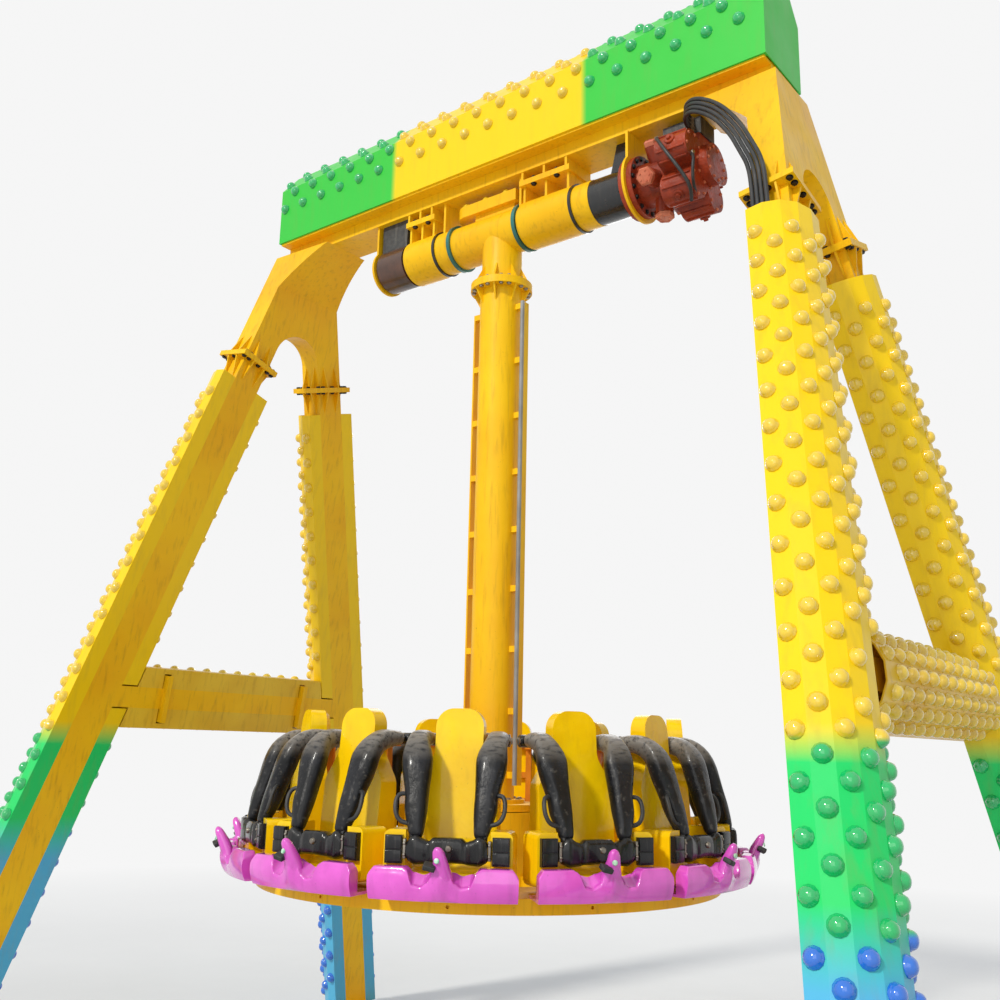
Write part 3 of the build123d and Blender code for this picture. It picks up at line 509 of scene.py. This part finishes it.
def tube(name, points, radius, skin, body, resolution=4, caps=True):
    """Round hose along a smooth line through points."""
    curve = bpy.data.curves.new(name, "CURVE")
    curve.dimensions = "3D"
    curve.bevel_depth = radius
    curve.bevel_resolution = resolution
    curve.use_fill_caps = caps
    spline = curve.splines.new("NURBS")
    spline.points.add(len(points) - 1)
    for spot, point in zip(spline.points, points):
        spot.co = (*point, 1.0)
    spline.order_u = 3
    spline.use_endpoint_u = True
    made = bpy.data.objects.new(name, curve)
    bpy.context.collection.objects.link(made)
    curve.materials.append(skin)
    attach(made, body)
    return made


def motor_trim():
    """Drain hoses in front of the motor and the fittings of the big hoses."""
    tube("drain_hose_long", [(1.372, -0.215, 6.020), (1.396, -0.275, 5.990), (1.484, -0.318, 5.850),
                             (1.575, -0.285, 5.695), (1.610, -0.225, 5.600), (1.560, -0.140, 5.575)],
         0.011, rubber, "frame")
    tube("drain_hose_short", [(1.596, -0.205, 5.845), (1.632, -0.235, 5.820), (1.632, -0.255, 5.720),
                              (1.612, -0.215, 5.640), (1.590, -0.140, 5.620)],
         0.010, rubber, "frame")
    starts = [hose_points(number)[0] for number in range(4)]
    places = [(start + Vector((0, 0.001, 0)), Vector((0, -1, 0))) for start in starts]
    nut = [([(0.0185, 0.0), (0.0185, 0.022), (0.0155, 0.026)], 6), ([(0.0145, 0.026), (0.0145, 0.062)], 16)]
    scatter("hose_fittings", places, nut, steel_bolt, "frame", smooth=False)
    union = [([(0.015, 0.0), (0.015, 0.018), (0.012, 0.022)], 6)]
    ends = [((1.598, -0.205, 5.850), (1, -0.3, 0)), ((1.372, -0.212, 6.012), (0, -0.8, 0.6))]
    places = [(Vector(point), Vector(facing).normalized()) for point, facing in ends]
    scatter("drain_fittings", places, union, steel_bolt, "frame", smooth=False)


def motor_castings():
    """Pale hexagon caps, plugs, face bolts and casting ribs on the star motor."""
    along_shaft = Vector((1, 0, 0))
    caps, plugs, bolts = [], [], []
    bm = bmesh.new()
    for step in range(10):
        turn = math.radians(36 * step)
        up = Vector((0, -math.sin(turn), math.cos(turn)))
        side = along_shaft.cross(up)
        if step % 2:
            caps.append((Vector((1.300, 0, PIVOT)) + up * 0.234, up))
            continue
        middle = Vector((1.4925, 0, PIVOT)) + up * 0.195
        for corner in range(6):
            angle = math.radians(60 * corner + 30)
            point = middle + (up * math.cos(angle) + side * math.sin(angle)) * 0.080
            if point.z < PIVOT + 0.170:
                bolts.append((Vector((1.600, point.y, point.z)), along_shaft))
        if step:
            plugs.append((middle + up * 0.096, up))
            for tilt in (-75, -38, 38, 75):
                out = up * math.cos(math.radians(tilt)) + side * math.sin(math.radians(tilt))
                turned_box = Matrix((along_shaft, along_shaft.cross(out), out)).transposed().to_4x4()
                size = Matrix.Diagonal((0.19, 0.013, 0.022, 1))
                place = Matrix.Translation(middle + out * 0.098) @ turned_box
                bmesh.ops.create_cube(bm, size=1.0, matrix=place @ size)
    cap = [([(0.0605, 0.0), (0.0605, 0.026), (0.050, 0.034)], 6)]
    scatter("motor_caps", caps, cap, motor_pale, "frame", smooth=False)
    plug = [([(0.034, 0.0), (0.034, 0.010), (0.030, 0.013)], 20)]
    plug.append(([(0.017, 0.013), (0.017, 0.026), (0.014, 0.028)], 6))
    scatter("motor_plugs", plugs, plug, motor_red, "frame", smooth=False)
    scatter("motor_face_bolts", bolts, bolt_shape(0.009), motor_pale, "frame", smooth=False)
    made = piece("motor_ribs", bm, motor_red, "frame", smooth=False)
    edge = made.modifiers.new("bevel", "BEVEL")
    edge.width = 0.004
    edge.segments = 2


# Hoses

def hose_points(number):
    """Line of one hose, from the block on the motor to the clamp on the leg."""
    shift = 0.027 * (number - 1.5)
    start = Vector((1.555, -0.090, PIVOT + 0.2475))
    steps = [(0, 0, 0), (0, -135, 0), (120, -255, -18), (300, -300, -150)]
    steps += [(440, -350, -345), (530, -415, -520)]
    sides = [(0, 0, 1), (0, 0, 1), (0.3, 0, 0.95), (0.55, 0, 0.83), (0.75, 0, 0.66), (0.9, 0, 0.43)]
    points = [start + Vector(step) / 1000 + Vector(side) * shift for step, side in zip(steps, sides)]
    for rise, out in ((0.130, 0.014), (-0.100, 0.0), (-0.475, 0.0)):
        place = FOOT + UP * (LEG_LENGTH + rise) - SIDE * (0.198 + out)
        points.append(place + OUT * (shift - 0.005))
    return points


def hoses():
    for number in range(4):
        points = hose_points(number)
        made = tube(f"hose_line_{number + 1}", points, 0.0125, rubber, "frame", 5, False)
        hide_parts(f"hose_{number + 1}")


# Materials for the CAD nodes

def assign(skin, *names):
    for name in names:
        mesh = nodes[name].data
        mesh.materials.clear()
        mesh.materials.append(skin)


def dress_nodes():
    for name in nodes:
        if name.startswith(("leg_cover", "beam_cover")):
            assign(leg_paint if name.startswith("leg") else beam_paint, name)
        elif name.startswith("brace_cover"):
            assign(brace_paint, name)
        elif not name.startswith(("harness", "fairing", "hose_1", "hose_2", "hose_3", "hose_4")):
            assign(steel_paint, name)
    assign(black_gloss, "gland_rings", "drive_coupling", "hose_bulkhead")
    assign(bronze, "slip_ring")
    assign(speckled, "junction_box", "motor_block")
    assign(motor_red, "star_motor")
    assign(teal, "seal_rings")
    assign(grey_plastic, "arm_conduit")
    assign(orange_paint, "seat_ladders")
    assign(seat_yellow, "seat_shells", "side_housings")
    assign(moulded, "latch_blocks")


# Harnesses

PAD_BEND = 0.170
PAD_SHOULDER = Vector((1.290, 0.0, 2.35))
PAD_END = Vector((1.4585, 0.0, 1.825))
PAD_STAGES = [(0.0, 0.146, 0.248, 0.064), (0.26, 0.144, 0.268, 0.098), (0.45, 0.108, 0.280, 0.108),
              (0.72, 0.114, 0.244, 0.094), (1.0, 0.128, 0.190, 0.062)]


def pad_line(share):
    """Point on a harness arm's arched middle line, and the direction there."""
    fall = (PAD_END - PAD_SHOULDER).normalized()
    turn = math.acos(fall.x)
    trim = PAD_BEND * math.tan(turn / 2)
    flat = PAD_SHOULDER.x - AXLE.x - trim
    round_length = PAD_BEND * turn
    drop = (PAD_END - PAD_SHOULDER).length - trim
    way = share * (flat + round_length + drop)
    if way < flat:
        return AXLE + Vector((way, 0, 0)), Vector((1, 0, 0))
    if way < flat + round_length:
        angle = (way - flat) / PAD_BEND
        point = AXLE + Vector((flat + PAD_BEND * math.sin(angle), 0, -PAD_BEND * (1 - math.cos(angle))))
        return point, Vector((math.cos(angle), 0, -math.sin(angle)))
    return PAD_SHOULDER + fall * (trim + way - flat - round_length), fall


def pad_size(share):
    """Near side, far side and thickness of a pad at a share of its line, eased between its stages."""
    for low, high in zip(PAD_STAGES, PAD_STAGES[1:]):
        if share <= high[0]:
            part = (share - low[0]) / (high[0] - low[0])
            part = part * part * (3 - 2 * part)
            return [a + (b - a) * part for a, b in zip(low[1:], high[1:])]
    return PAD_STAGES[-1][1:]


def pad_mesh():
    """One crowned pad, as rounded rings along its arched line, closed by smaller rings at its ends."""
    bm = bmesh.new()
    rings = []
    stations = [(0.060, 0.55), (0.068, 0.86)] + [(0.085 + 0.043 * step, 1.0) for step in range(20)]
    stations += [(0.925, 0.97), (0.938, 0.82), (0.946, 0.5)]
    for share, grown in stations:
        point, line = pad_line(share)
        near, far, thick = pad_size(share)
        face = Vector((-line.z, 0, line.x))
        ring = []
        for x, y in squared_circle(24, 0.72):
            across = (near + far) / 2 + (far - near) / 2 * x * grown
            ring.append(bm.verts.new(point + Vector((0, across, 0)) + face * (thick / 2 * y * grown)))
        rings.append(ring)
    bridge(bm, rings)
    mesh = bpy.data.meshes.new("harness_pad_form")
    bm.to_mesh(mesh)
    bm.free()
    return mesh


def swell(made):
    """Fill the pad as foam: remesh it finely and let cloth with pressure crown it."""
    remesh = made.modifiers.new("remesh", "REMESH")
    remesh.mode = "VOXEL"
    remesh.voxel_size = 0.007
    apply_modifiers(made)
    start = [vertex.co.copy() for vertex in made.data.vertices]
    cloth = made.modifiers.new("cloth", "CLOTH")
    cloth.settings.use_pressure = True
    cloth.settings.uniform_pressure_force = 4
    cloth.settings.effector_weights.gravity = 0
    cloth.point_cache.frame_start = 1
    cloth.point_cache.frame_end = 20
    for step in range(1, 21):
        bpy.context.scene.frame_set(step)
    apply_modifiers(made)
    for vertex, before in zip(made.data.vertices, start):
        moved = vertex.co - before
        if moved.length > 0.006:
            vertex.co = before + moved.normalized() * 0.006
    smooth = made.modifiers.new("smooth", "SMOOTH")
    smooth.factor = 0.5
    smooth.iterations = 6
    apply_modifiers(made)


def apply_modifiers(made):
    graph = bpy.context.evaluated_depsgraph_get()
    mesh = bpy.data.meshes.new_from_object(made.evaluated_get(graph))
    made.modifiers.clear()
    made.data = mesh


def mirrored(mesh, name):
    """Copy of a mesh mirrored in Y."""
    copy = mesh.copy()
    copy.name = name
    copy.transform(Matrix.Diagonal((1, -1, 1, 1)))
    copy.flip_normals()
    return copy


def seat_turn(number):
    return Matrix.Rotation(math.radians(360 / SEATS * number), 4, "Z")


def harness_pads():
    form = bpy.data.objects.new("harness_pad_form", pad_mesh())
    bpy.context.collection.objects.link(form)
    swell(form)
    right = form.data
    right.name = "harness_pad_right"
    for polygon in right.polygons:
        polygon.use_smooth = True
    right.materials.clear()
    right.materials.append(pad_skin)
    left = mirrored(right, "harness_pad_left")
    bpy.data.objects.remove(form)
    for number in range(SEATS):
        for side, mesh in (("right", right), ("left", left)):
            made = bpy.data.objects.new(f"harness_pad_{number + 1:02d}_{side}", mesh)
            bpy.context.collection.objects.link(made)
            made.matrix_world = seat_turn(number)
            bpy.context.view_layer.update()
            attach(made, f"harness_{number + 1:02d}_body")
            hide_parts(f"harness_{number + 1:02d}")


def copies(name, mesh, body, stands_for=None):
    """The same mesh at each seat, riding on each seat's body."""
    for number in range(SEATS):
        made = bpy.data.objects.new(f"{name}_{number + 1:02d}", mesh)
        bpy.context.collection.objects.link(made)
        made.matrix_world = seat_turn(number)
        bpy.context.view_layer.update()
        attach(made, body.format(number + 1))
        if stands_for:
            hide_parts(stands_for.format(number + 1))


def template(name, skin, build, smooth=True, bevel=0.0, split=40):
    """Mesh made once by a builder that adds to a bmesh, with softened edges."""
    bm = bmesh.new()
    build(bm)
    mesh = bpy.data.meshes.new(name)
    bm.to_mesh(mesh)
    bm.free()
    made = bpy.data.objects.new(name, mesh)
    bpy.context.collection.objects.link(made)
    if bevel:
        edge = made.modifiers.new("bevel", "BEVEL")
        edge.width = bevel
        edge.segments = 3
        edge.limit_method = "ANGLE"
        edge.angle_limit = math.radians(30)
    if smooth:
        mesh.polygons.foreach_set("use_smooth", [True] * len(mesh.polygons))
        part = made.modifiers.new("split", "EDGE_SPLIT")
        part.split_angle = math.radians(split)
    apply_modifiers(made)
    mesh = made.data
    mesh.name = name
    mesh.materials.clear()
    mesh.materials.append(skin)
    bpy.data.objects.remove(made)
    return mesh


def block(bm, x, y, z):
    """Box between pairs of limits."""
    centre = Vector((sum(x) / 2, sum(y) / 2, sum(z) / 2))
    size = Matrix.Diagonal((x[1] - x[0], y[1] - y[0], z[1] - z[0], 1))
    bmesh.ops.create_cube(bm, size=1.0, matrix=Matrix.Translation(centre) @ size)


def rod(bm, start, end, radius, segments=16, far=None):
    """Round bar between two points."""
    start, end = Vector(start), Vector(end)
    turn = Vector((0, 0, 1)).rotation_difference(end - start).to_matrix().to_4x4()
    place = Matrix.Translation((start + end) / 2) @ turn
    bmesh.ops.create_cone(bm, cap_ends=True, segments=segments, radius1=radius, radius2=far or radius,
                          depth=(end - start).length, matrix=place)


def bridge(bm, rings):
    """Skin over a row of rings, closed at both ends."""
    for low, high in zip(rings, rings[1:]):
        for step in range(len(low)):
            after = (step + 1) % len(low)
            bm.faces.new((low[step], low[after], high[after], high[step]))
    bm.faces.new(list(reversed(rings[0])))
    bm.faces.new(rings[-1])
    bmesh.ops.recalc_face_normals(bm, faces=bm.faces)


def squared_circle(segments, power):
    """Points round a circle of radius one, pushed out towards a square."""
    points = []
    for step in range(segments):
        angle = 2 * math.pi * step / segments
        x, y = math.cos(angle), math.sin(angle)
        points.append((math.copysign(abs(x) ** power, x), math.copysign(abs(y) ** power, y)))
    return points


def eased(stops, value):
    """Heights eased between stops, each of which is a place and a height."""
    for (low, first), (high, last) in zip(stops, stops[1:]):
        if value <= high:
            part = max(0.0, (value - low) / (high - low))
            return first + (last - first) * part * part * (3 - 2 * part)
    return stops[-1][1]


def lap_piece(bm):
    """Moulded lap piece: a raised middle block, a knuckle under each pad and ends that droop."""
    stations = 41
    top = [(0.0, 1.874), (0.070, 1.872), (0.096, 1.854), (0.118, 1.862), (0.160, 1.884), (0.186, 1.876),
           (0.204, 1.846)]
    base = [(0.0, 1.752), (0.080, 1.750), (0.110, 1.744), (0.160, 1.740), (0.190, 1.752), (0.204, 1.768)]
    depth = [(0.0, 0.041), (0.070, 0.040), (0.096, 0.033), (0.124, 0.040), (0.170, 0.045), (0.204, 0.030)]
    rings = []
    for number in range(stations):
        y = 0.204 * (number / (stations - 1) * 2 - 1)
        low, high = eased(base, abs(y)), eased(top, abs(y))
        ring = []
        for a, b in squared_circle(24, 0.6):
            x = 1.457 + eased(depth, abs(y)) * a
            ring.append(bm.verts.new((x, y, (low + high) / 2 + (high - low) / 2 * b)))
        rings.append(ring)
    bridge(bm, rings)


# Front panels

PANEL_HALF = math.radians(13.25)
PANEL_FLOOR = 1.586
PANEL_INNER = 1.540
PANEL_FOOT = 1.370
PANEL_SKIN = 0.014
FRONT_EDGE = [(0.0, 1.742), (0.036, 1.732), (0.066, 1.676), (0.100, 1.656), (0.136, 1.662), (0.176, 1.732),
              (0.196, 1.742), (0.340, 1.740), (0.362, 1.716), (0.372, 1.690)]
BACK_EDGE = [(0.0, 1.740), (0.050, 1.722), (0.100, 1.706), (0.150, 1.716), (0.190, 1.744), (0.340, 1.742),
             (0.362, 1.722), (0.372, 1.694)]


def panel_face(y, z):
    """Radius of a front panel's bulged face, which has a keel under the horn."""
    share = (z - PANEL_FLOOR) / 0.164
    keel = max(0.0, 1 - abs(y) / 0.085) ** 1.4
    return 1.598 + 0.024 * (1 - (2 * share - 1) ** 2) + 0.034 * keel * share ** 0.7


def front_panel(bm):
    """Glossy front panel: a bulged face, round shoulders and two scoops for the legs that slope outwards."""
    columns = 96
    rows = 10
    rings = []
    for column in range(columns + 1):
        share = 2 * column / columns - 1
        turn = PANEL_HALF * math.copysign(abs(share) ** 0.85, share)
        y = 1.60 * math.sin(turn)
        front, back = eased(FRONT_EDGE, abs(y)), eased(BACK_EDGE, abs(y))
        rise = (front - PANEL_SKIN - PANEL_FLOOR) / rows
        heights = [PANEL_FLOOR + rise * row for row in range(rows + 1)]
        face = [(panel_face(y, height), height) for height in heights]
        brow = face[-1][0]
        for step in range(1, 5):
            angle = math.radians(90 * step / 4)
            inward, below = PANEL_SKIN * (1 - math.cos(angle)), PANEL_SKIN * (1 - math.sin(angle))
            face.append((brow - inward, front - below))
        for step in range(1, 6):
            part = step / 6
            radius = brow - PANEL_SKIN + (PANEL_INNER + 0.016 - brow) * part
            face.append((radius, front + (back - front) * part))
        face += [(PANEL_INNER + 0.006, back - 0.003), (PANEL_INNER, back - 0.012)]
        face += [(PANEL_INNER, PANEL_FLOOR + PANEL_SKIN), (PANEL_FOOT, PANEL_FLOOR + PANEL_SKIN)]
        face.append((PANEL_FOOT, PANEL_FLOOR))
        rings.append([bm.verts.new((r * math.cos(turn), r * math.sin(turn), z)) for r, z in face])
    bridge(bm, rings)


def panel_horn(bm):
    """Hooked horn that grows out of the panel's keel and leans out and to one side."""
    stages = [(1.598, 0.000, 1.672, 0.062, 0.036), (1.606, 0.000, 1.712, 0.054, 0.036),
              (1.622, -0.001, 1.752, 0.041, 0.033), (1.640, -0.003, 1.786, 0.033, 0.028),
              (1.654, -0.008, 1.812, 0.029, 0.024), (1.662, -0.013, 1.828, 0.023, 0.019),
              (1.666, -0.016, 1.837, 0.014, 0.012), (1.668, -0.018, 1.841, 0.005, 0.004)]
    rings = []
    for place, (out, side, height, half, depth) in enumerate(stages):
        before = Vector(stages[max(place - 1, 0)][:3])
        after = Vector(stages[min(place + 1, len(stages) - 1)][:3])
        lean = (after - before).normalized()
        forward = lean.cross(Vector((0, -1, 0))).normalized()
        across = lean.cross(forward)
        ring = []
        for a, b in squared_circle(24, 0.8):
            ring.append(bm.verts.new(Vector((out, side, height)) + across * half * a + forward * depth * b))
        rings.append(ring)
    bridge(bm, rings)


def harness_frame(bm):
    """Steel frame of the harness: hubs on the axle, short arms into the pads and feet into the lap piece."""
    for side in (-1, 1):
        rod(bm, (1.025, side * 0.150, 2.35), (1.025, side * 0.249, 2.35), 0.034, 24)
        rod(bm, (1.030, side * 0.200, 2.352), (1.085, side * 0.201, 2.374), 0.020)
        rod(bm, (1.432, side * 0.184, 1.925), (1.452, side * 0.176, 1.850), 0.020)


def harness_bolts(bm):
    """Round metal bolt in the lap piece's middle, nuts on the hubs and rivets in the pads' lower ends."""
    rod(bm, (1.494, 0.012, 1.822), (1.508, 0.012, 1.822), 0.019, 24, 0.013)
    for side in (-1, 1):
        rod(bm, (1.026, side * 0.246, 2.352), (1.026, side * 0.252, 2.352), 0.018, 6)
        for share in (0.70, 0.79, 0.88):
            point, line = pad_line(share)
            near, far, thick = pad_size(share)
            face = Vector((-line.z, 0, line.x))
            spot = point + Vector((0, side * (near + far) / 2, 0)) + face * (thick / 2 - 0.003)
            rod(bm, spot, spot + face * 0.007, 0.008, 12, 0.005)


def pipe(bm, points, radius, segments=10):
    """Round tube along a smooth line through points."""
    line = []
    for place in range(len(points) - 1):
        before = Vector(points[max(place - 1, 0)])
        start, end = Vector(points[place]), Vector(points[place + 1])
        after = Vector(points[min(place + 2, len(points) - 1)])
        square = 2 * before - 5 * start + 4 * end - after
        cube = 3 * start - before - 3 * end + after
        for step in range(6):
            t = step / 6
            line.append(0.5 * (2 * start + (end - before) * t + square * t ** 2 + cube * t ** 3))
    line.append(Vector(points[-1]))
    rings = []
    for place, spot in enumerate(line):
        run = line[min(place + 1, len(line) - 1)] - line[max(place - 1, 0)]
        turn = run.to_track_quat("Z", "Y").to_matrix()
        circle = squared_circle(segments, 1.0)
        rings.append([bm.verts.new(spot + turn @ Vector((radius * x, radius * y, 0))) for x, y in circle])
    bridge(bm, rings)


def harness_handles(bm):
    """Bent grab handles on the outer side of both pads."""
    for side in (-1, 1):
        pipe(bm, [(1.385, side * 0.222, 2.075), (1.402, side * 0.262, 2.072), (1.420, side * 0.278, 2.040),
                  (1.434, side * 0.274, 1.985), (1.440, side * 0.246, 1.945), (1.438, side * 0.186, 1.930)],
             0.0115)


def latch_trim(bm):
    """Smooth face of the black block beside the seat, in two halves with a groove between them."""
    for side in (-1, 1):
        for low, high in ((1.749, 1.808), (1.813, 1.876)):
            block(bm, (1.470, 1.487), sorted((side * 0.230, side * 0.310)), (low, high))


def latch_steel(bm):
    """Silver latches between the lap piece and the black blocks."""
    for side in (-1, 1):
        block(bm, (1.452, 1.486), sorted((side * 0.2065, side * 0.2205)), (1.768, 1.862))
        for z in (1.788, 1.842):
            rod(bm, (1.484, side * 0.2135, z), (1.492, side * 0.2135, z), 0.009, 12, 0.006)


def shoulder_springs(bm):
    """Silver springs and pins on the seat frame, inside the harness hubs."""
    for side in (-1, 1):
        rod(bm, (1.048, side * 0.100, 2.372), (1.048, side * 0.136, 2.372), 0.012)
        for step in range(5):
            y = side * (0.102 + 0.0075 * step)
            rod(bm, (1.048, y, 2.372), (1.048, y + side * 0.004, 2.372), 0.019, 16)
        rod(bm, (1.025, side * 0.2545, 2.35), (1.025, side * 0.2605, 2.35), 0.019, 6)


def horn_pad(bm):
    """Rubber wedge under the horn's hook."""
    block(bm, (-0.026, 0.026), (-0.030, 0.030), (-0.013, 0.013))
    turn = Matrix.Rotation(math.radians(24), 4, "Y") @ Matrix.Rotation(math.radians(-14), 4, "X")
    bmesh.ops.transform(bm, matrix=Matrix.Translation((1.652, -0.050, 1.752)) @ turn, verts=bm.verts)


def horn_disc(bm):
    """Small pale disc on the horn's front."""
    rod(bm, (1.668, -0.012, 1.780), (1.676, -0.013, 1.782), 0.014, 24, 0.012)


def gondola_trim():
    """Pieces that ride on the gondola, once at each seat."""
    for name, skin, build, bevel, slot in (
            ("latch_ribs", moulded, latch_trim, 0.003, "black_plastic"),
            ("latches", steel_bolt, latch_steel, 0.003, "amber_steel"),
            ("springs", steel_bolt, shoulder_springs, 0.001, "orange_frame")):
        copies(name, template(name, skin, build, bevel=bevel), "gondola")
    for name, build in (("front_panel", front_panel), ("panel_horn", panel_horn)):
        copies(name, template(name, magenta, build, split=60), "gondola", "fairing_panels")
    for name, skin, build, bevel, slot in (
            ("horn_pads", rubber, horn_pad, 0.006, "black_plastic"),
            ("horn_discs", pale_green, horn_disc, 0.001, "magenta_gloss")):
        copies(name, template(name, skin, build, bevel=bevel), "gondola")


def harness_parts():
    """Pieces that ride on each harness with its pads."""
    for name, skin, build, bevel, split in (
            ("harness_handles", rubber, harness_handles, 0.0, 60),
            ("lap_piece", moulded, lap_piece, 0.0, 60),
            ("harness_frame", black_gloss, harness_frame, 0.003, 40),
            ("harness_bolts", steel_bolt, harness_bolts, 0.001, 40)):
        mesh = template(name, skin, build, bevel=bevel, split=split)
        copies(name, mesh, "harness_{:02d}_body", "harness_{:02d}")


# Studio

def lamp(name, kind, energy, where, look, **values):
    data = bpy.data.lights.new(name, kind)
    data.energy = energy
    for key, value in values.items():
        setattr(data, key, value)
    made = bpy.data.objects.new(name, data)
    made.location = where
    made.rotation_euler = (Vector(look) - Vector(where)).to_track_quat("-Z", "Y").to_euler()
    bpy.context.collection.objects.link(made)


def seen_directly(nt):
    """One for rays that show the backdrop: seen by the camera, in a reflection or through glass."""
    path = nt.nodes.new("ShaderNodeLightPath")
    found = path.outputs["Is Camera Ray"]
    for kind in ("Is Glossy Ray", "Is Transmission Ray"):
        either = nt.nodes.new("ShaderNodeMath")
        either.operation = "MAXIMUM"
        nt.links.new(found, either.inputs[0])
        nt.links.new(path.outputs[kind], either.inputs[1])
        found = either.outputs[0]
    return found


def studio():
    world = bpy.data.worlds.new("studio")
    bpy.context.scene.world = world
    world.use_nodes = True
    nt = world.node_tree
    back = nt.nodes["Background"]
    back.inputs["Color"].default_value = (0.86, 0.92, 1.0, 1.0)
    back.inputs["Strength"].default_value = 0.55
    seen = nt.nodes.new("ShaderNodeBackground")
    seen.inputs["Color"].default_value = (0.92, 0.92, 0.92, 1.0)
    either = nt.nodes.new("ShaderNodeMixShader")
    nt.links.new(seen_directly(nt), either.inputs[0])
    nt.links.new(back.outputs[0], either.inputs[1])
    nt.links.new(seen.outputs[0], either.inputs[2])
    nt.links.new(either.outputs[0], nt.nodes["World Output"].inputs["Surface"])
    lamp("sun", "SUN", 2.2, (-0.5, -9, 9.5), (0, 0, 3), angle=math.radians(6), color=(1.0, 0.97, 0.9))
    lamp("soft_front", "AREA", 130, (6, -9, 5), (0, 0, 3.5), size=6.0)
    lamp("soft_back", "AREA", 240, (-5, 9, 9), (0, 0, 3.5), size=6.0)


def ground():
    bpy.ops.mesh.primitive_plane_add(size=160, location=(0, 0, 0))
    floor = bpy.context.object
    floor.name = "studio_floor"
    color = varied(linear(222, 222, 221), linear(216, 216, 215), linear(206, 206, 206), 0.2, 0.1)
    skin = material("studio_floor", color, (0.7, 0.85))
    fade_out(skin.node_tree)
    floor.data.materials.append(skin)


def fade_out(nt):
    """Let the floor turn into the white backdrop away from the ride."""
    away = nt.nodes.new("ShaderNodeVectorMath")
    away.operation = "LENGTH"
    nt.links.new(place_of(nt), away.inputs[0])
    share = add(nt, "MapRange", Value=away.outputs["Value"])
    share.inputs["From Min"].default_value = 5.0
    share.inputs["From Max"].default_value = 16.0
    seen = nt.nodes.new("ShaderNodeMath")
    seen.operation = "MULTIPLY"
    nt.links.new(share.outputs["Result"], seen.inputs[0])
    nt.links.new(seen_directly(nt), seen.inputs[1])
    glow = nt.nodes.new("ShaderNodeEmission")
    glow.inputs["Color"].default_value = (0.92, 0.92, 0.92, 1.0)
    blend = nt.nodes.new("ShaderNodeMixShader")
    nt.links.new(seen.outputs[0], blend.inputs[0])
    nt.links.new(nt.nodes["Principled BSDF"].outputs[0], blend.inputs[1])
    nt.links.new(glow.outputs[0], blend.inputs[2])
    nt.links.new(blend.outputs[0], nt.nodes["Material Output"].inputs["Surface"])


def camera():
    yaw, pitch, roll = math.radians(38.012), math.radians(13.053), math.radians(1.217)
    right = Vector((math.cos(yaw), math.sin(yaw), 0))
    level = Vector((-math.sin(yaw), math.cos(yaw), 0))
    ahead = level * math.cos(pitch) + Vector((0, 0, math.sin(pitch)))
    above = level * -math.sin(pitch) + Vector((0, 0, math.cos(pitch)))
    across = right * math.cos(roll) + above * math.sin(roll)
    high = above * math.cos(roll) - right * math.sin(roll)
    data = bpy.data.cameras.new("view")
    data.lens = 1078.863 * 36 / 1000
    data.sensor_width = 36
    data.clip_end = 500
    made = bpy.data.objects.new("view", data)
    made.matrix_world = Matrix.Translation((4.347, -5.529, 2.300)) @ Matrix(
        (across, high, -ahead)).transposed().to_4x4()
    bpy.context.collection.objects.link(made)
    bpy.context.scene.camera = made
    bpy.context.scene.view_settings.view_transform = "Standard"


dress_nodes()
leg_bulbs()
brace_bulbs()
girder_bulbs()
tray_bulbs()
flange_bolts()
arm_bolts()
bracket_bolts()
drive_bolts()
hoses()
motor_trim()
motor_castings()
harness_pads()
harness_parts()
gondola_trim()
studio()
ground()
camera()
